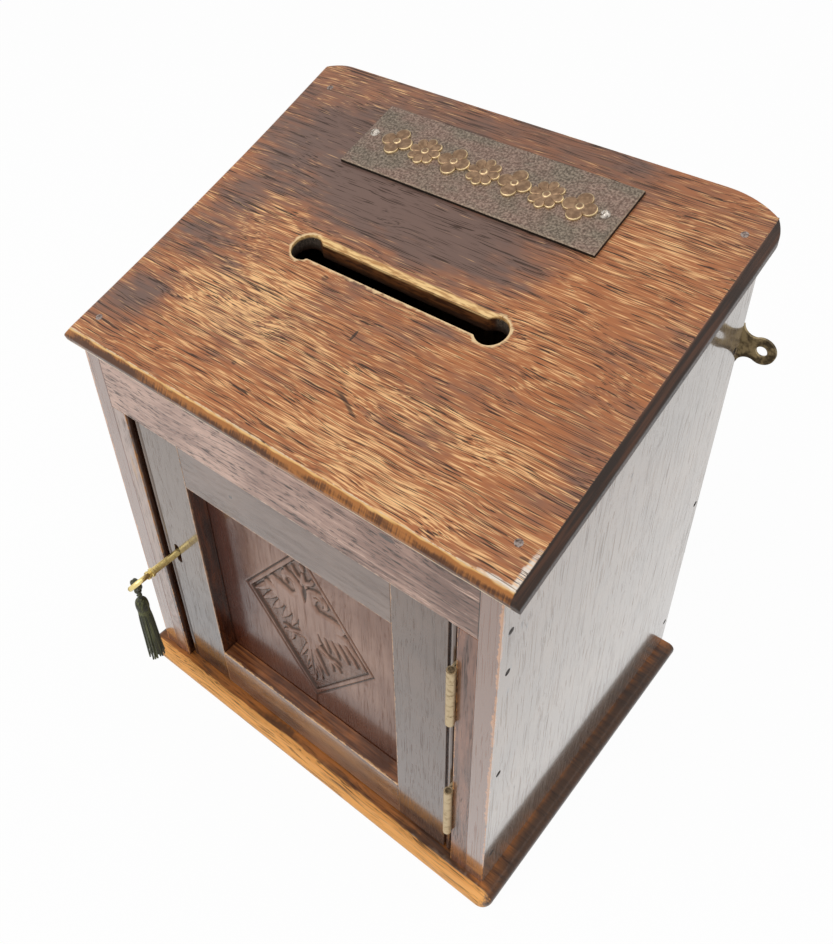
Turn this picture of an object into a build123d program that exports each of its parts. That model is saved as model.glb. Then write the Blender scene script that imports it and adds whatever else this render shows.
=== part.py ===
from build123d import *
import os
from math import atan, cos, pi, radians, sin, sqrt, tan

# Desk letter box: a nailed oak case with a sloping lid, a framed door on brass butts,
# a small cupboard lock with its key, and a silk tassel on the key.
# Millimetres. X runs to the right, Y to the back, Z up. The origin is on the underside
# of the base board, below the middle of the case.

# ---------------------------------------------------------------- driving dimensions
# case
case_width = 235.0
case_depth = 185.5
side_thickness = 10.0
back_thickness = 8.0
base_thickness = 9.0
base_projection = 8.4
base_corner_radius = 6.0
base_nosing_radius = 3.9
front_height = 233.5            # base underside to lid underside, at the front face
doorway_height = 190.8
rail_thickness = 12.0
jamb_width = 9.6

# lid
lid_slope = 18.2
lid_thickness = 7.5
lid_front_overhang = 3.0
lid_side_overhang = 8.5
lid_left_overhang = 7.5         # at the front; the left end is cut out of square
lid_left_flare = 6.9            # and reaches this much further at the back
lid_left_flare_middle = 1.2     # and this much further halfway
lid_bevel = 3.7
lid_right_corner_wear = 30.0    # how far along the back arris the corner is rubbed away
lid_right_corner_radius = 50.0
lid_right_corner_round = 8.0
lid_left_corner_wear = 19.0
lid_left_corner_radius = 25.0
lid_left_corner_round = 2.0
slot_bore_radius = 7.2
slot_bore_spacing = 102.2
slot_channel_width = 9.9
slot_up_slope = 89.55           # slot centre, measured up the slope at the top face
slot_wear_width = 3.4
slot_wear_depth = 1.0

# plates on the case
name_plate_length = 140.0
name_plate_width = 41.0
name_plate_thickness = 2.2
name_plate_bevel = 0.7
name_plate_up_slope = 160.85
name_plate_off_centre = -2.45
name_plate_screw_inset = 6.35
name_plate_screw_shift = -1.55
name_plate_screw_rise = 1.0
mirror_plate_thickness = 1.5
mirror_plate_height = 232.0
mirror_plate_root_width = 11.0
mirror_plate_half_height = 10.5
mirror_plate_reach = 17.2       # side face to the far end of the ear
mirror_plate_ear_radius = 6.7
mirror_plate_hole_radius = 2.7

# door
door_recess = 2.5
door_thickness = 18.0
door_hinge_gap = 2.2
door_lock_gap = 1.9
door_top_gap = 1.0
door_bottom_gap = 1.0
lock_stile_width = 31.0
hinge_stile_width = 33.4
door_top_rail_width = 29.4
door_bottom_rail_width = 27.0
bead_width = 3.0
quirk_width = 0.8
quirk_depth = 1.8
panel_setback = 9.5
panel_thickness = 5.0
panel_tongue = 7.0
tenon_length = 20.0
tenon_shoulder = 6.0
joint_clearance = 0.1
panel_side_play = 0.5
lozenge_half_width = 43.3
lozenge_half_height = 56.8
lozenge_border = 3.4
lozenge_line_width = 0.9
lozenge_sink = 0.9
stop_width = 15.0
stop_thickness = 9.0
stop_clearance = 0.3

# hinges
hinge_length = 38.0
hinge_knuckles = 5
hinge_pin_radius = 1.0
hinge_pin_clearance = 0.06
hinge_pin_head = 0.5
knuckle_radius = 2.1
knuckle_proud = 1.7             # pin centre in front of the case's face
knuckle_gap = 0.2
leaf_thickness = 1.2
leaf_width = 11.5
leaf_clearance = 0.3
wood_clearance = 0.3
upper_hinge_bottom = 134.9
lower_hinge_bottom = 40.0
leaf_screw_inset = 7.5

# lock
lock_width = 22.0
lock_below_key = 10.0
lock_above_key = 14.0
lock_wall = 1.2
lock_pocket_depth = 10.5
lock_ear = 6.5
cap_sink = 0.3
key_backset = 9.6
key_height = 107.8
keyhole_radius = 2.4
keyhole_slot_width = 4.0
keyhole_above = 6.0
keyhole_below = 7.9
bolt_height = 6.0
bolt_thickness = 4.0
bolt_above_key = 3.4            # key axis to the bolt's lower edge
bolt_throw = 6.4
bolt_clearance = 0.3
bolt_end_sink = 0.1
talon_width = 5.0
talon_depth = 3.3
spring_thickness = 0.5
mortice_depth = 7.0
mortice_clearance = 0.6
drill_pin_radius = 0.8

# key
key_radius = 1.9
key_bit_radius = 6.2
key_bit_thickness = 1.8
key_bit_width = 2.9
key_ward_cut = 1.0
key_tip_gap = 0.4
key_pipe_clearance = 0.08
key_pipe_depth = 11.5
key_collar_radius = 2.6
key_collar_distance = 16.5      # case face to the collar
bow_centre_distance = 23.4      # case face to the bow's centre
bow_half_length = 5.2
bow_half_width = 6.4
bow_wire_radius = 1.4
bow_tilt = 38.5                 # bow and bit, turned from upright towards the hinges

# tassel
cord_radius = 0.9
cord_clearance = 0.35
cord_pitch = 1.5                # the turns are pressed together
knot_radius = 2.0
knot_sink = 1.0                 # how deep the cord is drawn into its knot
knot_clearance = 0.3
neck_radius = 1.5
neck_length = 5.0
head_radius = 3.7
head_length = 11.0
skirt_length = 38.0
skirt_top_radius = 3.9
skirt_bottom_radius = 4.6
skirt_flutes = 14
skirt_flute_depth = 0.5

# nails and screws
nail_radius = 0.9
nail_head_radius = 1.7
nail_head_thickness = 0.8
nail_length = 24.0
jamb_nail_length = 16.0
nail_clearance = 0.02
lid_nail_places = (             # side, in from the case's face, up from the front or back
    (-1, 4.7, 11.7), (1, 4.4, 16.7), (1, 3.2, -17.5), (-1, 3.2, -14.0),
)
side_nail_inset = 6.5
side_nail_heights = (30.0, 105.0, 181.0, 207.0)
back_nail_heights = (30.0, 130.0, 230.0)
base_nail_inset = 25.0
small_screw_radius = 1.1
small_screw_head = 2.3
small_screw_length = 7.0
plate_screw_radius = 1.4
plate_screw_head = 2.9
plate_screw_length = 14.0
dome_screw_radius = 1.2
dome_screw_head = 2.4
dome_screw_height = 1.5
dome_screw_length = 5.5
driver_slot = 0.6

# ---------------------------------------------------------------- worked-out places
front = -case_depth / 2
back = case_depth / 2
half_width = case_width / 2
inner_half_width = half_width - side_thickness
jamb_face = inner_half_width - jamb_width
doorway_top = base_thickness + doorway_height

slope = radians(lid_slope)
lid_plane = Plane(
    origin=(0, front, front_height), x_dir=(1, 0, 0), z_dir=(0, -sin(slope), cos(slope))
)

door_face = front + door_recess
door_back = door_face + door_thickness
door_left = -jamb_face + door_lock_gap
door_right = jamb_face - door_hinge_gap
door_bottom = base_thickness + door_bottom_gap
door_top = doorway_top - door_top_gap
panel_left = door_left + lock_stile_width
panel_right = door_right - hinge_stile_width
panel_bottom = door_bottom + door_bottom_rail_width
panel_top = door_top - door_top_rail_width
panel_face = door_face + panel_setback
panel_rear = panel_face + panel_thickness

pin_x = jamb_face - door_hinge_gap / 2
pin_y = front - knuckle_proud

key_x = door_left + key_backset
lock_front = door_back - lock_pocket_depth
cap_rear = door_back - cap_sink
cap_front = cap_rear - lock_wall
bolt_front = lock_front + lock_wall + bolt_clearance * 2
bolt_rear = bolt_front + bolt_thickness
bolt_bottom = key_height + bolt_above_key
bolt_top = bolt_bottom + bolt_height
bit_front = bolt_front + (bolt_thickness - key_bit_width) / 2
bow_y = front - bow_centre_distance
tilt = radians(bow_tilt)
hang_x = key_x - bow_half_width * sin(tilt)
hang_z = key_height - bow_half_width * cos(tilt)
loop_radius = bow_wire_radius + cord_clearance + cord_radius
knot_z = hang_z - loop_radius - cord_radius - knot_radius + knot_sink
neck_top = knot_z - knot_radius - knot_clearance
head_top = neck_top - neck_length
skirt_top = head_top - head_length
skirt_bottom = skirt_top - skirt_length


# ---------------------------------------------------------------- helpers
def board(x0, x1, y0, y1, z0, z1):
    """A squared piece between two corners."""
    size = (x1 - x0, y1 - y0, z1 - z0)
    return Pos(x0 + size[0] / 2, y0 + size[1] / 2, z0 + size[2] / 2) * Box(*size)


def cut_across(outline, x0, x1):
    """A piece of the given Y-Z outline, from x0 to x1."""
    face = make_face(Polyline(*outline, close=True))
    return extrude(Plane.YZ.offset(x0) * face, amount=x1 - x0)


def under_lid(y):
    """Height of the lid's underside at depth y."""
    return front_height + tan(slope) * (y - front)


def rod(start, direction, radius, length):
    return extrude(Plane(origin=start, z_dir=direction) * Circle(radius), amount=length)


def turned(profile, start, direction):
    """A turned piece: (radius, distance) points, spun about a line from start."""
    face = make_face(Polyline(*profile, close=True))
    return Plane(origin=start, z_dir=direction) * revolve(Plane.XZ * face, Axis.Z)


def nail(seat, inward, length=nail_length, spare=0.0):
    """A cut nail with its head flush at seat; spare widens it into its hole."""
    shank = nail_radius + spare
    head = nail_head_radius + spare
    profile = [
        (0, 0), (head, 0), (head, nail_head_thickness), (shank, nail_head_thickness),
        (shank, length - shank), (0, length + spare),
    ]
    return turned(profile, seat, inward)


def flat_screw(seat, inward, radius, head, length, spare=0.0, slotted=True):
    """A countersunk wood screw with its head flush at seat."""
    shank = radius + spare
    rim = head + spare
    profile = [(0, 0), (rim, 0), (shank, rim - shank), (shank, length - shank), (0, length + spare)]
    screw = turned(profile, seat, inward)
    if slotted:
        slot = Box(2 * head, driver_slot, driver_slot)
        screw -= Plane(origin=seat, z_dir=inward) * slot
    return screw


def dome_screw(seat, inward, spare=0.0):
    """A round-head screw; seat is the face that the head stands on."""
    radius = dome_screw_radius + spare
    screw = turned(
        [(0, 0), (radius, 0), (radius, dome_screw_length - radius), (0, dome_screw_length + spare)],
        seat, inward,
    )
    if spare:
        return screw
    ball = (dome_screw_head**2 + dome_screw_height**2) / (2 * dome_screw_height)
    head = Pos(0, 0, ball - dome_screw_height) * Sphere(ball) & Pos(0, 0, -ball) * Box(
        4 * ball, 4 * ball, 2 * ball
    )
    head -= Pos(0, 0, -dome_screw_height) * Box(2 * ball, driver_slot, 2 * driver_slot)
    return screw + Plane(origin=seat, z_dir=inward) * head


def drilled(piece, holes):
    for hole in holes:
        piece -= hole
    return piece


def save(name, *solids):
    shape = solids[0] if len(solids) == 1 else Compound(children=list(solids))
    shape.label = name
    export_step(shape, f"parts/{name}.step")
    return shape


def mirrored(solid):
    return mirror(solid, about=Plane.YZ)


# ---------------------------------------------------------------- nails and screws
def on_lid(x, up_slope, height=lid_thickness):
    """The point on the lid at x and a distance up its slope; height 0 is the underside."""
    return lid_plane.from_local_coords(Vector(x, up_slope, height))


slope_length = case_depth / cos(slope)
side_centre = half_width - side_thickness / 2
into_lid = -lid_plane.z_dir
lid_nail_seats = [
    (on_lid(side * (half_width - inset), up if up > 0 else slope_length + up), into_lid)
    for side, inset, up in lid_nail_places
]
side_nail_seats = [
    (Vector(side * half_width, front + side_nail_inset, height), Vector(-side, 0, 0))
    for side in (-1, 1)
    for height in side_nail_heights
]
back_nail_seats = [
    (Vector(side * half_width, back - back_thickness / 2, height), Vector(-side, 0, 0))
    for side in (-1, 1)
    for height in back_nail_heights
]
base_nail_seats = [
    (Vector(side * side_centre, depth, 0), Vector(0, 0, 1))
    for side in (-1, 1)
    for depth in (front + base_nail_inset, back - base_nail_inset)
]


def nails(seats, length=nail_length):
    return [nail(seat, inward, length) for seat, inward in seats]


def nail_holes(seats, length=nail_length):
    return [nail(seat, inward, length, nail_clearance) for seat, inward in seats]


def mirror_plate_screws(side, spare=0.0):
    """The two screws that hold a mirror plate to the rear edge of a side board."""
    return [
        flat_screw(
            (side * side_centre, back + mirror_plate_thickness, mirror_plate_height + rise),
            (0, -1, 0), plate_screw_radius, plate_screw_head, plate_screw_length, spare, not spare,
        )
        for rise in (-mirror_plate_half_height / 2, mirror_plate_half_height / 2)
    ]


def name_plate_screws(spare=0.0):
    middle = name_plate_off_centre + name_plate_screw_shift
    spacing = name_plate_length - 2 * name_plate_screw_inset
    height = lid_thickness + name_plate_thickness
    return [
        dome_screw(
            on_lid(middle + half * spacing, name_plate_up_slope + name_plate_screw_rise, height),
            into_lid, spare,
        )
        for half in (-0.5, 0.5)
    ]


# ---------------------------------------------------------------- case
def make_base_board():
    width = case_width + 2 * base_projection
    plank = board(-width / 2, width / 2, front - base_projection, back, 0, base_thickness)
    corners = plank.edges().filter_by(Axis.Z).group_by(Axis.Y)[0]
    plank = fillet(corners, base_corner_radius)
    rims = [
        edge
        for level in (0, -1)
        for edge in plank.faces().sort_by(Axis.Z)[level].edges()
        if edge.center().Y < back - 0.1
    ]
    plank = fillet(rims, base_nosing_radius)
    return drilled(plank, nail_holes(base_nail_seats))


def make_side(side):
    outline = [
        (front, base_thickness), (back, base_thickness),
        (back, under_lid(back)), (front, under_lid(front)),
    ]
    inner, outer = sorted((side * inner_half_width, side * half_width))
    plank = cut_across(outline, inner, outer)
    seats = lid_nail_seats + back_nail_seats + base_nail_seats
    plank = drilled(plank, nail_holes([seat for seat in seats if seat[0].X * side > 0]))
    seats = [seat for seat in side_nail_seats if seat[0].X * side > 0]
    plank = drilled(plank, nail_holes(seats, jamb_nail_length))
    return drilled(plank, mirror_plate_screws(side, nail_clearance))


def make_back_board():
    inside = back - back_thickness
    outline = [
        (inside, base_thickness), (back, base_thickness),
        (back, under_lid(back)), (inside, under_lid(inside)),
    ]
    plank = cut_across(outline, -inner_half_width, inner_half_width)
    return drilled(plank, nail_holes(back_nail_seats))


def make_front_rail():
    inside = front + rail_thickness
    outline = [
        (front, doorway_top), (inside, doorway_top),
        (inside, under_lid(inside)), (front, under_lid(front)),
    ]
    plank = cut_across(outline, -inner_half_width, inner_half_width)
    return drilled(plank, nail_holes(side_nail_seats, jamb_nail_length))


def make_jamb(side):
    depth = door_recess + door_thickness + stop_clearance
    inner, outer = sorted((side * jamb_face, side * inner_half_width))
    strip = board(inner, outer, front, front + depth, base_thickness, doorway_top)
    seats = [seat for seat in side_nail_seats if seat[0].X * side > 0]
    strip = drilled(strip, nail_holes(seats, jamb_nail_length))
    if side < 0:
        strip -= board(
            inner, outer, bolt_front - mortice_clearance, bolt_rear + mortice_clearance,
            bolt_bottom - mortice_clearance, bolt_top + mortice_clearance,
        ) & board(
            -jamb_face - mortice_depth, outer, front, back, base_thickness, doorway_top
        )
        return strip
    for bottom in (lower_hinge_bottom, upper_hinge_bottom):
        strip -= hinge_seat(bottom, 1)
        strip = drilled(strip, leaf_screws(bottom, 1, nail_clearance))
    return strip


def make_door_stop():
    start = door_back + stop_clearance
    return board(
        -inner_half_width, -inner_half_width + stop_width,
        start, start + stop_thickness, base_thickness, doorway_top,
    )


def slot_outline():
    """The letter slot seen from above: a channel between two bored ends."""
    holes = [
        Pos(half * slot_bore_spacing, 0) * Circle(slot_bore_radius) for half in (-0.5, 0.5)
    ]
    return Rectangle(slot_bore_spacing, slot_channel_width) + holes[0] + holes[1]


def worn_corner(end, rear, reach, radius, rounding, tall):
    """What is rubbed off a back corner: a long curve along the back, then a tight one."""
    beyond = 20.0
    middle = Vector(end - reach, rear - radius)
    drop = sqrt((radius - rounding) ** 2 - (reach - rounding) ** 2)
    small = Vector(end - rounding, middle.Y + drop)
    towards = (small - middle).normalized()
    meet = middle + towards * radius
    over = middle + (towards + Vector(0, 1)).normalized() * radius
    round_over = small + (towards + Vector(1, 0)).normalized() * rounding
    start = Vector(end - reach, rear)
    stop = Vector(end, small.Y)
    outline = [
        ThreePointArc(start, over, meet),
        ThreePointArc(meet, round_over, stop),
        Polyline(
            stop, stop + Vector(beyond, 0), Vector(end + beyond, rear + beyond),
            start + Vector(0, beyond), start,
        ),
    ]
    return extrude(make_face(outline), amount=tall)


def make_lid():
    right = half_width + lid_side_overhang
    left = half_width + lid_left_overhang
    foot = -lid_front_overhang
    end = slope_length + lid_thickness
    outline = [
        Polyline((-left, foot), (right, foot), (right, end), (-left - lid_left_flare, end)),
        ThreePointArc(
            (-left - lid_left_flare, end), (-left - lid_left_flare_middle, (foot + end) / 2),
            (-left, foot),
        ),
    ]
    plank = extrude(make_face(outline), amount=lid_thickness)
    rims = [
        edge
        for edge in plank.faces().sort_by(Axis.Z)[-1].edges()
        if edge.center().Y < slope_length
    ]
    plank = lid_plane * chamfer(rims, lid_bevel)
    rear = back + mirror_plate_thickness
    tall = under_lid(back) + 4 * lid_thickness
    plank -= board(-2 * right, 2 * right, rear, rear + 8 * lid_thickness, 0, tall)
    plank -= worn_corner(
        right, rear, lid_right_corner_wear, lid_right_corner_radius, lid_right_corner_round, tall
    )
    plank -= mirrored(worn_corner(
        left + lid_left_flare, rear, lid_left_corner_wear, lid_left_corner_radius,
        lid_left_corner_round, tall,
    ))
    slot_centre = on_lid(0, slot_up_slope)
    plank -= Pos(0, slot_centre.Y, front_height) * extrude(slot_outline(), amount=tall)
    # the back arris of the slot, rubbed down by hands
    arris = slot_up_slope + slot_channel_width / 2 / cos(slope)
    wear = cut_across(
        [
            (arris - 1, lid_thickness - slot_wear_depth), (arris, lid_thickness - slot_wear_depth),
            (arris + slot_wear_width, lid_thickness), (arris + slot_wear_width, lid_thickness + 1),
            (arris - 1, lid_thickness + 1),
        ],
        -slot_bore_spacing / 2, slot_bore_spacing / 2,
    )
    plank -= lid_plane * wear
    plank = drilled(plank, nail_holes(lid_nail_seats))
    return drilled(plank, name_plate_screws(nail_clearance))


def make_name_plate():
    plate = Pos(name_plate_off_centre, name_plate_up_slope, lid_thickness) * extrude(
        Rectangle(name_plate_length, name_plate_width), amount=name_plate_thickness
    )
    plate = chamfer(plate.faces().sort_by(Axis.Z)[-1].edges(), name_plate_bevel)
    return drilled(lid_plane * plate, name_plate_screws(nail_clearance))


def make_mirror_plate(side):
    """A screwed wall plate with a waisted ear that stands out beside the case."""
    root = mirror_plate_half_height
    ear_x = half_width + mirror_plate_reach - mirror_plate_ear_radius
    join = ear_x - mirror_plate_ear_radius / 2
    join_z = sqrt(mirror_plate_ear_radius**2 - (join - ear_x) ** 2)
    waist = ((half_width + join) / 2 - 1.6, (root + join_z) / 2 - 1.2)
    edge = half_width - mirror_plate_root_width
    far = ear_x + mirror_plate_ear_radius
    outline = [
        Line((edge, -root), (half_width, -root)),
        ThreePointArc((half_width, -root), (waist[0], -waist[1]), (join, -join_z)),
        ThreePointArc((join, -join_z), (far, 0), (join, join_z)),
        ThreePointArc((join, join_z), waist, (half_width, root)),
        Line((half_width, root), (edge, root)),
        Line((edge, root), (edge, -root)),
    ]
    sheet = make_face(Curve() + outline) - Pos(ear_x, 0) * Circle(mirror_plate_hole_radius)
    at = Plane(
        origin=(0, back + mirror_plate_thickness, mirror_plate_height),
        x_dir=(1, 0, 0), z_dir=(0, -1, 0),
    )
    plate = at * extrude(sheet, amount=mirror_plate_thickness)
    plate = drilled(plate, mirror_plate_screws(1, nail_clearance))
    return plate if side > 0 else mirrored(plate)


# ---------------------------------------------------------------- door
def stile(x0, x1, outer):
    """A door stile with a quirk bead run along its outer edge; outer is that edge's side."""
    radius = bead_width / 2
    quirk = bead_width + quirk_width
    flat = x1 - x0
    deep = door_face + quirk_depth
    arc = ThreePointArc(
        (0, door_face + radius), (radius, door_face), (bead_width, door_face + radius)
    )
    outline = [
        arc,
        Line((bead_width, door_face + radius), (bead_width, deep)),
        Line((bead_width, deep), (quirk, deep)),
        Line((quirk, deep), (quirk, door_face)),
        Line((quirk, door_face), (flat, door_face)),
        Line((flat, door_face), (flat, door_back)),
        Line((flat, door_back), (0, door_back)),
        Line((0, door_back), (0, door_face + radius)),
    ]
    section = make_face(Curve() + outline)
    bar = extrude(Plane.XY.offset(door_bottom) * section, amount=door_top - door_bottom)
    bar = Pos(x0, 0, 0) * bar if outer < 0 else Pos(x1, 0, 0) * mirrored(bar)
    inner = x1 if outer < 0 else x0
    groove = [inner - panel_tongue, inner + panel_tongue]
    bar -= board(
        *groove, panel_face - joint_clearance, panel_rear + joint_clearance, door_bottom, door_top
    )
    length = tenon_length + joint_clearance
    for low, high in (
        (door_bottom + tenon_shoulder, panel_bottom), (panel_top, door_top - tenon_shoulder)
    ):
        bar -= board(
            inner - length, inner + length, panel_face - joint_clearance,
            panel_rear + joint_clearance, low - joint_clearance, high + joint_clearance,
        )
    return bar


def make_lock_stile():
    bar = stile(door_left, panel_left, -1)
    # pocket for the lock, open at the stile's edge and at its back
    bar -= board(
        door_left - 1, door_left + lock_width + joint_clearance,
        lock_front - joint_clearance, door_back + 1,
        key_height - lock_below_key - joint_clearance, key_height + lock_above_key + joint_clearance,
    )
    bar -= board(
        door_left - 1, door_left + lock_width + joint_clearance,
        cap_front - joint_clearance, door_back + 1,
        key_height - lock_below_key - lock_ear - joint_clearance,
        key_height + lock_above_key + lock_ear + joint_clearance,
    )
    bar -= keyhole(door_face - 1, lock_front)
    return drilled(bar, lock_screws(nail_clearance))


def make_hinge_stile():
    bar = stile(panel_right, door_right, 1)
    for bottom in (lower_hinge_bottom, upper_hinge_bottom):
        bar -= hinge_seat(bottom, -1)
        bar = drilled(bar, leaf_screws(bottom, -1, nail_clearance))
    return bar


def door_rail(low, high, inner):
    """A door rail with a tenon at each end; inner is the height of its grooved edge."""
    bar = board(panel_left, panel_right, door_face, door_back, low, high)
    shoulder = tenon_shoulder if inner == high else 0
    other = tenon_shoulder if inner == low else 0
    bar += board(
        panel_left - tenon_length, panel_right + tenon_length,
        panel_face, panel_rear, low + shoulder, high - other,
    )
    reach = panel_tongue
    bar -= board(
        panel_left - tenon_length, panel_right + tenon_length,
        panel_face - joint_clearance, panel_rear + joint_clearance, inner - reach, inner + reach,
    )
    return bar


def lozenge(inset):
    """The lozenge of the panel, drawn in by inset on every side."""
    slant = sqrt(lozenge_half_width**2 + lozenge_half_height**2)
    shrink = 1 - inset * slant / (lozenge_half_width * lozenge_half_height)
    across, up = lozenge_half_width * shrink, lozenge_half_height * shrink
    return make_face(Polyline((across, 0), (0, up), (-across, 0), (0, -up), close=True))


def make_panel():
    play = panel_tongue - panel_side_play
    plate = board(
        panel_left - play, panel_right + play, panel_face, panel_rear,
        panel_bottom - play, panel_top + play,
    )
    centre = Plane(
        origin=((panel_left + panel_right) / 2, panel_face, (panel_bottom + panel_top) / 2),
        x_dir=(1, 0, 0), z_dir=(0, -1, 0),
    )
    line = lozenge(0) - lozenge(lozenge_line_width)
    plate -= centre * extrude(line, amount=-lozenge_sink)
    return plate - centre * extrude(lozenge(lozenge_border), amount=-lozenge_sink)


# ---------------------------------------------------------------- hinges
def hinge_spans(owner):
    """Lowest and highest points of the knuckles of one leaf: 0 frame, 1 door."""
    pitch = hinge_length / hinge_knuckles
    spans = []
    for index in range(owner, hinge_knuckles, 2):
        low = index * pitch + (knuckle_gap / 2 if index else 0)
        high = (index + 1) * pitch - (knuckle_gap / 2 if index < hinge_knuckles - 1 else 0)
        spans.append((low, high))
    return spans


def make_leaf(bottom, side):
    """A hinge leaf with its knuckles: side 1 is the jamb's, -1 the door's."""
    owner = 0 if side > 0 else 1
    near, far = sorted((side * leaf_clearance / 2, side * (leaf_clearance / 2 + leaf_thickness)))
    leaf = board(near, far, 0, leaf_width, 0, hinge_length)
    clear = knuckle_radius + wood_clearance
    for low, high in hinge_spans(1 - owner):
        leaf -= board(-clear, clear, -clear, clear, low - knuckle_gap, high + knuckle_gap)
    for low, high in hinge_spans(owner):
        leaf += rod((0, 0, low), (0, 0, 1), knuckle_radius, high - low)
    leaf -= rod((0, 0, -1), (0, 0, 1), hinge_pin_radius + hinge_pin_clearance, hinge_length + 2)
    leaf = Pos(pin_x, pin_y, bottom) * leaf
    return drilled(leaf, leaf_screws(bottom, side, nail_clearance))


def make_hinge_pin(bottom):
    """A rivet-headed pin that stands a little beyond the knuckles."""
    shaft = hinge_pin_radius
    head = shaft + 0.4
    top = hinge_length + hinge_pin_head
    return turned(
        [
            (0, -hinge_pin_head), (head, -hinge_pin_head), (head, -0.05), (shaft, -0.05),
            (shaft, hinge_length + 0.05), (head, hinge_length + 0.05), (head, top), (0, top),
        ],
        (pin_x, pin_y, bottom), (0, 0, 1),
    )


def leaf_screws(bottom, side, spare=0.0):
    seat_x = pin_x + side * leaf_clearance / 2
    return [
        flat_screw(
            (seat_x, pin_y + leaf_screw_inset, bottom + height), (side, 0, 0),
            small_screw_radius, small_screw_head, small_screw_length, spare, not spare,
        )
        for height in (leaf_screw_inset, hinge_length - leaf_screw_inset)
    ]


def hinge_seat(bottom, side):
    """What is cut from the wood for a leaf and for the knuckles."""
    clear = joint_clearance
    outer = pin_x + side * (leaf_clearance / 2 + leaf_thickness + clear)
    low_x, high_x = sorted((pin_x, outer))
    seat = board(
        low_x, high_x, pin_y, pin_y + leaf_width + clear,
        bottom - clear, bottom + hinge_length + clear,
    )
    length = hinge_length + 2 * (hinge_pin_head + clear)
    start = bottom - hinge_pin_head - clear
    return seat + rod((pin_x, pin_y, start), (0, 0, 1), knuckle_radius + wood_clearance, length)


# ---------------------------------------------------------------- lock
def keyhole(y0, y1, spare=0.0):
    """The keyhole's opening between two depths: a round hole and a slot through it."""
    upright = key_height + (keyhole_above - keyhole_below) / 2
    shape = Pos(key_x, upright) * SlotOverall(
        keyhole_above + keyhole_below, keyhole_slot_width + spare, rotation=90
    ) + Pos(key_x, key_height) * Circle(keyhole_radius + spare)
    return extrude(Plane.XZ.offset(-y0) * shape, amount=y0 - y1)


def make_lock_case():
    """The lock's box, open at the back, with its selvedge in the stile's edge."""
    right = door_left + lock_width
    low, high = key_height - lock_below_key, key_height + lock_above_key
    case = board(door_left, right, lock_front, cap_front, low, high)
    case -= board(
        door_left + lock_wall, right - lock_wall, lock_front + lock_wall, cap_front,
        low + lock_wall, high - lock_wall,
    )
    case -= board(
        door_left - 1, door_left + lock_wall, bolt_front - bolt_clearance,
        bolt_rear + bolt_clearance, bolt_bottom - bolt_clearance, bolt_top + bolt_clearance,
    )
    case -= keyhole(lock_front - 1, lock_front + lock_wall + 0.01)
    # ledges that carry the bolt on either side of the key's bit
    ledge_top = bolt_bottom - bolt_clearance
    ledge_gap = key_bit_radius * sin(tilt) + key_bit_thickness
    for x0, x1 in (
        (door_left + lock_wall, key_x - ledge_gap), (key_x + ledge_gap, right - lock_wall)
    ):
        case += board(
            x0, x1, lock_front + lock_wall, bolt_rear, ledge_top - lock_wall, ledge_top
        )
    return case


def make_lock_cap():
    """The plate that closes the lock, let into the back of the stile, with the drill pin."""
    plate = board(
        door_left, door_left + lock_width, cap_front, cap_rear,
        key_height - lock_below_key - lock_ear, key_height + lock_above_key + lock_ear,
    )
    pin = rod((key_x, cap_front, key_height), (0, -1, 0), drill_pin_radius, cap_front - bit_front + 4)
    return drilled(plate + pin, lock_screws(nail_clearance))


def lock_screws(spare=0.0):
    low = key_height - lock_below_key - lock_ear / 2
    high = key_height + lock_above_key + lock_ear / 2
    return [
        flat_screw(
            (door_left + lock_width / 2 + shift, cap_rear, height), (0, -1, 0),
            small_screw_radius, small_screw_head, small_screw_length, spare, not spare,
        )
        for height in (low, high)
        for shift in (-lock_width / 4, lock_width / 4)
    ]


def make_bolt():
    """The bolt, drawn back, with the talon that the key's bit turns in."""
    left = door_left + bolt_end_sink
    right = door_left + lock_width - lock_wall - 2 * bolt_clearance
    bar = board(left, right, bolt_front, bolt_rear, bolt_bottom, bolt_top)
    bar -= board(
        talon_x() - talon_width / 2, talon_x() + talon_width / 2,
        bolt_front, bolt_rear, bolt_bottom, bolt_bottom + talon_depth,
    )
    nose = bar.edges().filter_by(Axis.Y).group_by(Axis.X)[0]
    return chamfer(nose, lock_wall / 2)


def talon_x():
    """Centre of the talon with the bolt drawn back."""
    return key_x + bolt_throw / 2


def make_bolt_spring():
    """The bent strip on the bolt that rubs on the roof of the lock."""
    roof = key_height + lock_above_key - lock_wall - bolt_clearance
    left = door_left + lock_wall + bolt_throw + 2
    right = door_left + lock_width - lock_wall - 2 * bolt_clearance
    rise = roof - bolt_top
    over = ThreePointArc((left, bolt_top), (left - rise / 2, bolt_top + rise / 2), (left, roof))
    under = ThreePointArc(
        (left, roof - spring_thickness),
        (left - rise / 2 + spring_thickness, bolt_top + rise / 2),
        (left, bolt_top + spring_thickness),
    )
    end = right - lock_wall
    outline = [
        Line((right, bolt_top), (left, bolt_top)),
        over,
        Line((left, roof), (end, roof - spring_thickness)),
        Line((end, roof - spring_thickness), (end, roof - 2 * spring_thickness)),
        Line((end, roof - 2 * spring_thickness), (left, roof - spring_thickness)),
        under,
        Line((left, bolt_top + spring_thickness), (right, bolt_top + spring_thickness)),
        Line((right, bolt_top + spring_thickness), (right, bolt_top)),
    ]
    strip = make_face(Curve() + outline)
    inset = bolt_thickness / 4
    return extrude(Plane.XZ.offset(-bolt_front - inset) * strip, amount=-(bolt_thickness - 2 * inset))


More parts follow.
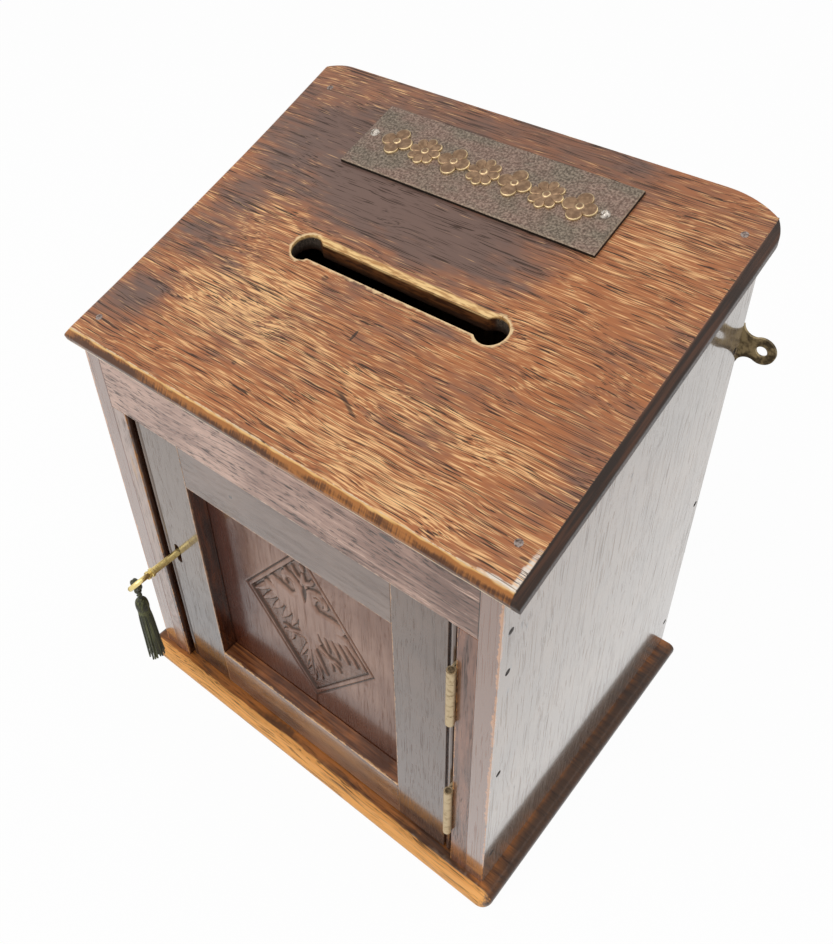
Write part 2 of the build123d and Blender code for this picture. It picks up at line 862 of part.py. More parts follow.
# ---------------------------------------------------------------- key
def make_key():
    """A pipe key: bored shank, bit, collar and an oval bow, upright before it is turned."""
    tip = cap_front - key_tip_gap
    collar = front - key_collar_distance
    shoulder = bow_y + bow_half_length
    r, c = key_radius, key_collar_radius
    profile = [
        (0, tip), (r, tip), (r, collar + 2.4), (c, collar + 1.9), (c, collar + 0.7),
        (r, collar + 0.3), (r, collar - 0.3), (c - 0.3, collar - 0.7), (c - 0.3, collar - 1.6),
        (r + 0.2, collar - 2.0), (r, shoulder), (0, shoulder),
    ]
    shank = turned([(radius, y) for radius, y in profile], (0, 0, 0), (0, 1, 0))
    bow_path = Ellipse(bow_half_width, bow_half_length).edges()[0]
    bow_path = Plane(origin=(0, bow_y, 0), x_dir=(0, 0, 1), z_dir=(1, 0, 0)) * bow_path
    wire = Plane(origin=bow_path @ 0, z_dir=bow_path % 0) * Circle(bow_wire_radius)
    key = shank + sweep(wire, path=bow_path)
    bit_rear = bit_front + key_bit_width
    bit = board(
        -key_bit_thickness / 2, key_bit_thickness / 2, bit_front, bit_rear, 0, key_bit_radius
    )
    middle = (bit_front + bit_rear) / 2
    bit -= board(
        -key_bit_thickness, key_bit_thickness, middle - key_ward_cut / 2,
        middle + key_ward_cut / 2, key_bit_radius - 1.6, key_bit_radius,
    )
    key += bit
    key -= rod((0, tip, 0), (0, -1, 0), drill_pin_radius + key_pipe_clearance, key_pipe_depth)
    key = Rot(0, bow_tilt, 0) * key
    return Pos(key_x, 0, key_height) * key


# ---------------------------------------------------------------- tassel
def make_tassel_loop():
    """Two turns of cord round the bow, and the knot below them."""
    strands = [
        Pos(loop_radius, shift) * Circle(cord_radius) for shift in (-cord_pitch / 2, cord_pitch / 2)
    ]
    turns = revolve(strands[0] + strands[1], Axis.Y)
    return Pos(hang_x, bow_y, hang_z) * turns + Pos(hang_x, bow_y, knot_z) * Sphere(knot_radius)


def make_tassel_neck():
    length = neck_length + knot_clearance + knot_radius / 2
    neck = rod((hang_x, bow_y, head_top), (0, 0, 1), neck_radius, length)
    return neck - Pos(hang_x, bow_y, knot_z) * Sphere(knot_radius + knot_clearance)


def make_tassel_head():
    waist = head_radius * 0.86
    return turned(
        [
            (0, 0), (neck_radius, 0), (head_radius * 0.8, 1.0), (head_radius, 2.8),
            (head_radius, head_length * 0.55), (waist, head_length * 0.7),
            (waist, head_length * 0.85), (head_radius, head_length), (0, head_length),
        ],
        (hang_x, bow_y, head_top), (0, 0, -1),
    )


def make_tassel_skirt():
    """Hanging strands, as one fluted bell."""
    def ring(radius, height):
        points = []
        for index in range(2 * skirt_flutes):
            turn = pi * index / skirt_flutes
            reach = radius - (skirt_flute_depth if index % 2 else 0)
            points.append((hang_x + reach * cos(turn), bow_y + reach * sin(turn)))
        return Plane.XY.offset(height) * make_face(Polyline(*points, close=True))

    middle = skirt_top - skirt_length * 0.55
    middle_radius = skirt_top_radius + (skirt_bottom_radius - skirt_top_radius) * 0.75
    return loft(
        [
            ring(skirt_top_radius, skirt_top),
            ring(middle_radius, middle),
            ring(skirt_bottom_radius, skirt_bottom),
        ],
        ruled=True,
    )


# ---------------------------------------------------------------- the whole box
save("base_board", make_base_board())
save("left_side", make_side(-1))
save("right_side", make_side(1))
save("back_board", make_back_board())
save("front_rail", make_front_rail())
save("left_jamb", make_jamb(-1))
save("right_jamb", make_jamb(1))
save("door_stop", make_door_stop())
save("lid", make_lid())
save("name_plate", make_name_plate())
save("name_plate_screws", *name_plate_screws())
save("left_mirror_plate", make_mirror_plate(-1))
save("right_mirror_plate", make_mirror_plate(1))
save("mirror_plate_screws", *mirror_plate_screws(-1), *mirror_plate_screws(1))
save("lid_nails", *nails(lid_nail_seats))
save("side_nails", *nails(side_nail_seats, jamb_nail_length))
save("back_nails", *nails(back_nail_seats))
save("base_nails", *nails(base_nail_seats))

save("door_lock_stile", make_lock_stile())
save("door_hinge_stile", make_hinge_stile())
save("door_top_rail", door_rail(panel_top, door_top, panel_top))
save("door_bottom_rail", door_rail(door_bottom, panel_bottom, panel_bottom))
save("door_panel", make_panel())

for place, hinge_bottom in (("upper", upper_hinge_bottom), ("lower", lower_hinge_bottom)):
    save(f"{place}_hinge_jamb_leaf", make_leaf(hinge_bottom, 1))
    save(f"{place}_hinge_door_leaf", make_leaf(hinge_bottom, -1))
    save(f"{place}_hinge_pin", make_hinge_pin(hinge_bottom))
hinge_bottoms = (lower_hinge_bottom, upper_hinge_bottom)
save("jamb_leaf_screws", *[screw for low in hinge_bottoms for screw in leaf_screws(low, 1)])
save("door_leaf_screws", *[screw for low in hinge_bottoms for screw in leaf_screws(low, -1)])

save("lock_case", make_lock_case())
save("lock_cap", make_lock_cap())
save("lock_screws", *lock_screws())
save("lock_bolt", make_bolt())
save("bolt_spring", make_bolt_spring())
save("key", make_key())
save("tassel_loop", make_tassel_loop())
save("tassel_neck", make_tassel_neck())
save("tassel_head", make_tassel_head())
save("tassel_skirt", make_tassel_skirt())
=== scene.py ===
"""Desk letter box: finishes, carving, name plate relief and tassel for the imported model."""

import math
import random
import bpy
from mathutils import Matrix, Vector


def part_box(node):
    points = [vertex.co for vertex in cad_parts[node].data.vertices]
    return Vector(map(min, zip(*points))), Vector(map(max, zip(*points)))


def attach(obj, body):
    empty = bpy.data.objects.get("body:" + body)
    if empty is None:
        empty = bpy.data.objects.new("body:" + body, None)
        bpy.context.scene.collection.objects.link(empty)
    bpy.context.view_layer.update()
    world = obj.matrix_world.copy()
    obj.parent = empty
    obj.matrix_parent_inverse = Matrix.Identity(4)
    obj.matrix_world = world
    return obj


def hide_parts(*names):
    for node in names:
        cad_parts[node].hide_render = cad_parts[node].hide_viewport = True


bl_info = {
    "name": "Desk Letter Box",
    "version": (1, 0, 0),
    "blender": (4, 5, 0),
    "location": "View3D > Sidebar > Letter Box",
    "description": "Finishes a small oak letter box with a carved door, a sloping lid and a key",
    "category": "Object",
}

import bpy
import numpy as np
from mathutils import Matrix, Vector

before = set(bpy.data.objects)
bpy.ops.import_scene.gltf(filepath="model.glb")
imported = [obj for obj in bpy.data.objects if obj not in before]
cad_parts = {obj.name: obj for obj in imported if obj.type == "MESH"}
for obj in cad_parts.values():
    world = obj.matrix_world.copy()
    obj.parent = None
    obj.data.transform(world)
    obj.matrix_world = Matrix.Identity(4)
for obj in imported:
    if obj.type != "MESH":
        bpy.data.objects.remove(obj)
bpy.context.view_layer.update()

MM = 0.001
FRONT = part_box("front_rail")[0].y / MM
RAIL_DEPTH = 12.0
LID_SLOPE = math.radians(18.2)
LID_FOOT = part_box("front_rail")[1].z / MM - math.tan(LID_SLOPE) * RAIL_DEPTH
LID_THICKNESS = 7.5


# ------------------------------------------------------------------ settings
class BoxOakSettings(bpy.types.PropertyGroup):
    """Tones and polish of the oak."""

    pore: bpy.props.FloatVectorProperty(
        name="Pores", description="Dirt in the open grain", subtype="COLOR", size=3,
        min=0, max=1, default=(0.030, 0.012, 0.006),
    )
    gold: bpy.props.FloatVectorProperty(
        name="Worn wood", description="Bare wood where the polish has gone", subtype="COLOR",
        size=3, min=0, max=1, default=(0.62, 0.30, 0.115),
    )
    polish: bpy.props.FloatProperty(
        name="Polish", description="Roughness of the varnish", subtype="FACTOR", min=0.05, max=1,
        default=0.22,
    )
    arris: bpy.props.FloatProperty(
        name="Arris", description="How far the boards' edges are eased, in millimetres",
        min=0.05, max=2, default=0.3,
    )


class BoxCarvingSettings(bpy.types.PropertyGroup):
    """Sizes of the carved lozenge."""

    depth: bpy.props.FloatProperty(
        name="Depth", description="Depth of the sunk ground, in millimetres", min=0.2, max=3,
        default=1.3,
    )
    cell: bpy.props.FloatProperty(
        name="Cell", description="Width of one face of the carving, in millimetres", min=0.2,
        max=2, default=0.42,
    )


class BoxTasselSettings(bpy.types.PropertyGroup):
    """Yarn of the tassel."""

    strands: bpy.props.IntProperty(
        name="Strands", description="Strands in the skirt", min=12, max=200, default=52
    )
    yarn: bpy.props.FloatProperty(
        name="Yarn", description="Radius of one strand, in millimetres", min=0.1, max=1,
        default=0.46,
    )
    silk: bpy.props.FloatVectorProperty(
        name="Silk", description="Colour of the silk", subtype="COLOR", size=3, min=0, max=1,
        default=(0.040, 0.042, 0.015),
    )


class BoxStageSettings(bpy.types.PropertyGroup):
    """Floor, lamps and room light."""

    lamp: bpy.props.FloatProperty(
        name="Lamp", description="Strength of the large lamp", unit="POWER", min=0, default=9.0
    )
    room: bpy.props.FloatProperty(
        name="Room light", description="Strength of the light from all round", min=0, max=2,
        default=0.45,
    )


# ------------------------------------------------------------------ modelling helpers
def pick(*pieces):
    """Select only these pieces, the last one active."""
    bpy.ops.object.select_all(action="DESELECT")
    for piece in pieces:
        piece.select_set(True)
    bpy.context.view_layer.objects.active = pieces[-1]


def new_piece(name):
    """The object just made, under its own name."""
    piece = bpy.context.object
    piece.name = name
    piece.data.name = name
    return piece


def add(shape, name, **settings):
    """A new mesh primitive, with nothing else selected."""
    bpy.ops.object.select_all(action="DESELECT")
    getattr(bpy.ops.mesh, f"primitive_{shape}_add")(**settings)
    return new_piece(name)


def apply_modifier(piece, kind, **settings):
    """Add a modifier and make its result the mesh."""
    pick(piece)
    modifier = piece.modifiers.new(kind.title(), kind)
    for key, value in settings.items():
        setattr(modifier, key, value)
    bpy.ops.object.modifier_apply(modifier=modifier.name)


def settle(piece, matrix=None):
    """Put the piece's place into its mesh, so that its object sits at the origin."""
    if matrix is not None:
        piece.matrix_world = matrix @ piece.matrix_world
    bpy.context.view_layer.update()
    pick(piece)
    bpy.ops.object.transform_apply(location=True, rotation=True, scale=True)
    return piece


def joined(name, parts, matrix=None):
    """The parts as one piece."""
    pick(*parts)
    bpy.ops.object.join()
    return settle(new_piece(name), matrix)


def smooth(piece, angle):
    pick(piece)
    bpy.ops.object.shade_smooth_by_angle(angle=math.radians(angle))


def give(piece, material):
    piece.data.materials.clear()
    piece.data.materials.append(material)


def dress(node, material):
    """Give a CAD node its finish."""
    give(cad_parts[node], material)


def stand_in(piece, body, slot, *nodes):
    """Let the piece ride a body and replace the nodes that it stands for."""
    if nodes:
        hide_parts(*nodes)
    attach(piece, body)
    return piece


def finished(piece, angle, material, body, *nodes):
    """A silk piece, smoothed and coloured."""
    smooth(piece, angle)
    give(piece, material)
    return stand_in(piece, body, "silk", *nodes)


def eased(node, body, slot, material, width=0.3, segments=2, least=1.0, keep=None):
    """A copy of a board with its arrises rubbed round; least is the shortest edge touched."""
    pick(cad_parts[node])
    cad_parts[node].hide_viewport = False
    bpy.ops.object.duplicate()
    piece = new_piece("eased_" + node)
    for key in list(piece.keys()):
        if key.startswith("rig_"):
            del piece[key]
    piece.parent = None
    bpy.ops.object.mode_set(mode="EDIT")
    bpy.ops.mesh.select_all(action="SELECT")
    bpy.ops.mesh.remove_doubles(threshold=2e-6)
    bpy.ops.mesh.dissolve_limited(angle_limit=math.radians(0.6))
    bpy.ops.mesh.select_all(action="DESELECT")
    bpy.ops.mesh.select_mode(type="EDGE")
    bpy.ops.mesh.edges_select_sharp(sharpness=math.radians(28))
    bpy.ops.object.mode_set(mode="OBJECT")
    points = piece.data.vertices
    for edge in piece.data.edges:
        first, last = (points[i].co / MM for i in edge.vertices)
        if (first - last).length < least or (keep and not keep((first + last) / 2)):
            edge.select = False
    bpy.ops.object.mode_set(mode="EDIT")
    bpy.ops.mesh.bevel(offset=width * MM, segments=segments, affect="EDGES", clamp_overlap=False)
    bpy.ops.object.mode_set(mode="OBJECT")
    apply_modifier(piece, "WEIGHTED_NORMAL", keep_sharp=True)
    give(piece, material)
    return stand_in(piece, body, slot, node)


# ------------------------------------------------------------------ shading helpers
def tree_node(tree, kind, **settings):
    made = tree.nodes.new(kind)
    for key, value in settings.items():
        setattr(made, key, value)
    return made


class Finish:
    """One material, with short names for the nodes that it is wired from."""

    def __init__(self, name, roughness=0.5, metallic=0.0, **sockets):
        self.material = bpy.data.materials.new(name)
        self.material.use_nodes = True
        self.tree = self.material.node_tree
        self.tree.nodes.clear()
        output = self.node("ShaderNodeOutputMaterial")
        self.shader = self.node("ShaderNodeBsdfPrincipled")
        self.tree.links.new(self.shader.outputs[0], output.inputs[0])
        self.shader.inputs["Roughness"].default_value = roughness
        self.shader.inputs["Metallic"].default_value = metallic
        for label, value in sockets.items():
            self.shader.inputs[label.replace("_", " ")].default_value = value
        self.where = self.node("ShaderNodeTexCoord").outputs["Object"]

    def node(self, kind, **settings):
        return tree_node(self.tree, kind, **settings)

    def plug(self, socket, value):
        if isinstance(value, bpy.types.NodeSocket):
            self.tree.links.new(value, socket)
        elif hasattr(socket.default_value, "__len__") and not hasattr(value, "__len__"):
            socket.default_value = [value] * len(socket.default_value)
        elif hasattr(value, "__len__") and len(socket.default_value) == 4 and len(value) == 3:
            socket.default_value = (*value, 1.0)
        else:
            socket.default_value = value

    def math(self, operation, first, second=0.0, third=None):
        made = self.node("ShaderNodeMath", operation=operation)
        self.plug(made.inputs[0], first)
        self.plug(made.inputs[1], second)
        if third is not None:
            self.plug(made.inputs[2], third)
        return made.outputs[0]

    def times(self, first, second):
        return self.math("MULTIPLY", first, second)

    def plus(self, first, second):
        return self.math("ADD", first, second)

    def minus(self, first, second):
        return self.math("SUBTRACT", first, second)

    def total(self, first, *others):
        for other in others:
            first = self.plus(first, other)
        return first

    def vector(self, operation, first, second=(0, 0, 0)):
        made = self.node("ShaderNodeVectorMath", operation=operation)
        self.plug(made.inputs[0], first)
        self.plug(made.inputs[1], second)
        return made.outputs["Value" if operation in ("LENGTH", "DISTANCE") else "Vector"]

    def split(self, vector):
        made = self.node("ShaderNodeSeparateXYZ")
        self.plug(made.inputs[0], vector)
        return made.outputs[0], made.outputs[1], made.outputs[2]

    def join(self, x, y, z):
        made = self.node("ShaderNodeCombineXYZ")
        for socket, value in zip(made.inputs, (x, y, z)):
            self.plug(socket, value)
        return made.outputs[0]

    def noise(self, vector, detail=2.0, roughness=0.5, distortion=0.0):
        made = self.node("ShaderNodeTexNoise")
        self.plug(made.inputs["Vector"], vector)
        made.inputs["Scale"].default_value = 1.0
        made.inputs["Detail"].default_value = detail
        made.inputs["Roughness"].default_value = roughness
        made.inputs["Distortion"].default_value = distortion
        return made.outputs[0]

    def spread(self, value, low, high, to_low=0.0, to_high=1.0):
        """A smooth step of value from low to high."""
        made = self.node("ShaderNodeMapRange", interpolation_type="SMOOTHSTEP")
        for label, number in (
            ("Value", value), ("From Min", low), ("From Max", high), ("To Min", to_low),
            ("To Max", to_high),
        ):
            self.plug(made.inputs[label], number)
        return made.outputs[0]

    def ramp(self, value, *stops):
        made = self.node("ShaderNodeValToRGB")
        band = made.color_ramp
        while len(band.elements) < len(stops):
            band.elements.new(0.5)
        for element, (place, colour) in zip(band.elements, stops):
            element.position = place
            element.color = (*colour, 1.0)
        self.plug(made.inputs[0], value)
        return made.outputs[0]

    def blend(self, amount, first, second, mode="MIX"):
        made = self.node("ShaderNodeMix", data_type="RGBA", blend_type=mode)
        self.plug(made.inputs[0], amount)
        self.plug(made.inputs[6], first)
        self.plug(made.inputs[7], second)
        return made.outputs[2]

    def colour(self, value):
        self.plug(self.shader.inputs["Base Color"], value)

    def rough(self, value):
        self.plug(self.shader.inputs["Roughness"], value)

    def bump(self, height, strength=0.5, distance=0.2, below=None):
        made = self.node("ShaderNodeBump")
        made.inputs["Strength"].default_value = strength
        made.inputs["Distance"].default_value = distance * MM
        self.plug(made.inputs["Height"], height)
        if below is not None:
            self.plug(made.inputs["Normal"], below)
        self.plug(self.shader.inputs["Normal"], made.outputs[0])
        return made.outputs[0]

    # ---- shared patterns, all in millimetres
    def place(self):
        """The point in millimetres."""
        return self.vector("MULTIPLY", self.where, (1000, 1000, 1000))

    def lid_place(self):
        """The point on the lid: across, up the slope, out of it."""
        made = self.node("ShaderNodeMapping")
        foot = Vector((0, FRONT * MM, LID_FOOT * MM))
        foot.rotate(Matrix.Rotation(-LID_SLOPE, 3, "X"))
        self.plug(made.inputs["Vector"], self.where)
        made.inputs["Location"].default_value = -foot * 1000
        made.inputs["Rotation"].default_value = (-LID_SLOPE, 0, 0)
        made.inputs["Scale"].default_value = (1000, 1000, 1000)
        return made.outputs[0]

    def scaled(self, vector, *lengths):
        return self.vector("MULTIPLY", vector, [1.0 / length for length in lengths])

    def cells(self, vector, *lengths, detail=2.0, shift=0.0):
        """Noise whose cells have these lengths, centred on zero."""
        if shift:
            vector = self.vector("ADD", vector, (shift, shift, shift))
        return self.minus(self.noise(self.scaled(vector, *lengths), detail, 0.6), 0.5)

    def grain_line(self, place, along, waver=2.5):
        """The point with the grain's run first, gently bent."""
        x, y, z = self.split(place)
        line = self.join(*{"X": (x, y, z), "Y": (y, z, x), "Z": (z, x, y)}[along])
        sway = self.times(self.cells(line, 110, 34, 34), 4 * waver)
        return self.vector("ADD", line, self.join(0.0, sway, sway))

    def patch(self, below, place, centre, radii, tone, strength=1.0, ragged=0.35, soft=0.5):
        """A soft-edged area of another tone, such as a worn or a dirty place."""
        apart = self.vector("SUBTRACT", place, centre)
        reach = self.vector("LENGTH", self.scaled(apart, *radii))
        mean = sum(sorted(radii)[:2]) / 2
        broken = self.cells(place, mean, mean, mean, detail=3.0)
        reach = self.plus(reach, self.times(broken, 2.4 * ragged))
        amount = self.spread(reach, 1 + soft / 2, 1 - soft / 2, 0.0, strength)
        return self.blend(amount, below, tone)

    def arris(self, place, planes, width, ragged=1.0):
        """How worn the wood is beside its arrises: planes gives the levels in x, y and z."""
        gaps = []
        for value, levels in zip(self.split(place), planes):
            gap = None
            for level in levels:
                one = self.math("ABSOLUTE", self.minus(value, float(level)))
                gap = one if gap is None else self.math("MINIMUM", gap, one)
            gaps.append(500.0 if gap is None else gap)
        a, b, c = gaps
        low, high = self.math("MINIMUM", a, b), self.math("MAXIMUM", a, b)
        edge = self.math("MAXIMUM", low, self.math("MINIMUM", high, c))
        chips = self.plus(self.cells(place, 3.0, 3.0, 3.0), self.cells(place, 21, 21, 21))
        edge = self.plus(edge, self.times(chips, 3.2 * width * ragged))
        return self.spread(edge, width, width * 0.35)


def oak(name, along, tones, warm=0.0, bare=-0.3, bare_tone=None, hairs=(11.0, 0.38),
        pores=(0.6, 20.0, 0.4), rings=(0.25, 3.4), bend=None, planes=((), (), ()), wear=1.0,
        wear_tone=None, patches=(), extra=None, polish=None, coat=1.0, ior=1.5, sloped=False,
        tint=(1.0, 0.86, 0.76), sheen=0.0, streaks=(1.0, 2.4), reach=(-0.02, 0.40)):
    """Varnished oak.

    Tones are its dark and light, warm moves it between them, and bare says how much polish has
    worn off. Streaks weigh the broad bands and the fine grain in that wear, and reach is the
    range it is spread over. Hairs are the run and width of the fine bright grain, pores the
    strength, run and width of the open grain, and rings the strength and spacing of the yearly
    rings, which bend moves across. Planes are the levels of the arrises that wear has rubbed.
    """
    settings = bpy.context.scene.box_oak
    polish = settings.polish if polish is None else polish
    gold = tuple(settings.gold)
    pore = tuple(settings.pore)
    finish = Finish(name, polish, Coat_Weight=coat, Coat_Roughness=polish * 0.6, Coat_IOR=ior,
                    IOR=ior, Specular_Tint=(*tint, 1.0), Sheen_Weight=sheen, Sheen_Roughness=0.3,
                    Sheen_Tint=(1.0, 0.92, 0.82, 1.0))
    place = finish.lid_place() if sloped else finish.place()
    line = finish.grain_line(place, along)
    broad = finish.cells(place, 42, 30, 30, detail=3.0)
    band = finish.cells(line, 66, 2.8, 2.8)
    fine = finish.cells(line, hairs[0], hairs[1], hairs[1], detail=1.0)
    warmth = warm(finish, place) if callable(warm) else warm
    tone = finish.total(finish.times(band, streaks[0]), broad, warmth)
    colour = finish.blend(finish.spread(tone, -0.24, 0.26), *tones)
    for patch in patches:
        colour = finish.patch(colour, place, *patch)
    worn = finish.total(
        finish.times(broad, 0.9), finish.times(band, streaks[0]),
        finish.times(fine, streaks[1]), bare(finish, place) if callable(bare) else bare,
    )
    bared = finish.spread(worn, *reach)
    colour = finish.blend(bared, colour, gold if bare_tone is None else bare_tone)
    _, second, third = finish.split(line)
    across = finish.total(
        second, third, finish.times(finish.cells(line, 190, 18, 18, detail=1.0), 9.0),
        bend(finish, place) if bend else 0.0,
    )
    ring = finish.math("SINE", finish.times(across, 2 * math.pi / rings[1]))
    ring = finish.times(finish.spread(ring, 0.90, 1.0),
                        finish.spread(finish.cells(line, 55, 7, 7, shift=9.0), -0.1, 0.12))
    colour = finish.blend(finish.times(ring, rings[0]), colour, pore)
    open_grain = finish.cells(line, pores[1], pores[2], pores[2], detail=1.0, shift=40.0)
    open_grain = finish.plus(open_grain, finish.times(band, -0.35))
    open_grain = finish.spread(open_grain, 0.08, 0.15)
    colour = finish.blend(finish.times(open_grain, pores[0]), colour, pore)
    if extra:
        colour = extra(finish, place, colour)
    if any(planes):
        rubbed = finish.arris(place, planes, wear)
        colour = finish.blend(rubbed, colour, gold if wear_tone is None else wear_tone)
    finish.colour(colour)
    finish.rough(finish.spread(finish.plus(bared, open_grain), 0.0, 1.0, polish, 0.6))
    finish.bump(finish.minus(finish.times(fine, 0.5), open_grain), 0.3, 0.12)
    return finish.material


def metal(name, tone, darkening, roughness=0.35, dirt_scale=4.0, dirt_amount=0.5, dent=0.25):
    """Brass or iron, dull and dirty in its hollows."""
    finish = Finish(name, roughness, 1.0)
    place = finish.place()
    grime = finish.noise(finish.scaled(place, dirt_scale, dirt_scale, dirt_scale), 4.0, 0.65)
    amount = finish.spread(grime, 0.62 - dirt_amount * 0.4, 0.78 - dirt_amount * 0.3)
    finish.colour(finish.blend(amount, tone, darkening))
    finish.rough(finish.spread(grime, 0.3, 0.75, roughness, min(1.0, roughness + 0.3)))
    fine = finish.noise(finish.scaled(place, 0.7, 0.7, 0.7), 3.0, 0.6)
    finish.bump(fine, dent, 0.15)
    return finish.material


def silk_yarn(name, tone):
    """Twisted silk on the strand's own UV map."""
    turns, twist = 3.0, 60.0
    finish = Finish(name, 0.55, Sheen_Weight=0.15, Sheen_Roughness=0.4)
    across, along, _ = finish.split(finish.node("ShaderNodeUVMap").outputs[0])
    lay = finish.total(finish.times(across, turns), finish.times(along, twist))
    wave = finish.math("SINE", finish.times(lay, 2 * math.pi))
    shade = finish.spread(wave, -1.0, 1.0)
    lightened = [min(1.0, 2.1 * c + 0.01) for c in tone]
    finish.colour(finish.blend(shade, [0.45 * c for c in tone], lightened))
    finish.bump(shade, 0.6, 0.12)
    return finish.material


# ------------------------------------------------------------------ case
NAIL = (0.02, 0.012, 0.01)


def recess_shade_and_tone(level, *tones, run=(2.5, 2.5, 34)):
    """Two tones, streaked along the run, for the faces that stand back from the level: painted
    shade in the door's recess and in the gaps beside it, and the bottom rail's own orange top
    edge.
    """
    def shade(finish, place, colour):
        depth = finish.split(place)[1]
        streak = finish.total(finish.cells(place, 30, 30, 30), finish.cells(place, *run))
        inner = finish.blend(finish.spread(streak, -0.20, 0.28), *tones)
        # faces set back from the level take the inner tones: painted shade, except on the bottom
        # rail, where they are its own edge colour
        back = finish.spread(depth, level + 0.4, level + 1.6, 0.0, 0.95)
        return finish.blend(back, colour, inner)
    return shade


def front_strip(finish, place, colour):
    """The side boards' front edges are browner than their faces."""
    depth = finish.split(place)[1]
    edge = finish.spread(depth, FRONT + 0.6, FRONT + 0.2, 0.0, 0.9)
    return finish.blend(edge, colour, (0.19, 0.062, 0.024))


def rail_joints(finish, place, colour):
    """Dirt in the joints between the rail and the sides."""
    across = finish.math("ABSOLUTE", finish.split(place)[0])
    joint = finish.spread(across, 106.9, 107.4, 0.0, 0.9)
    return finish.blend(joint, colour, (0.02, 0.010, 0.008))


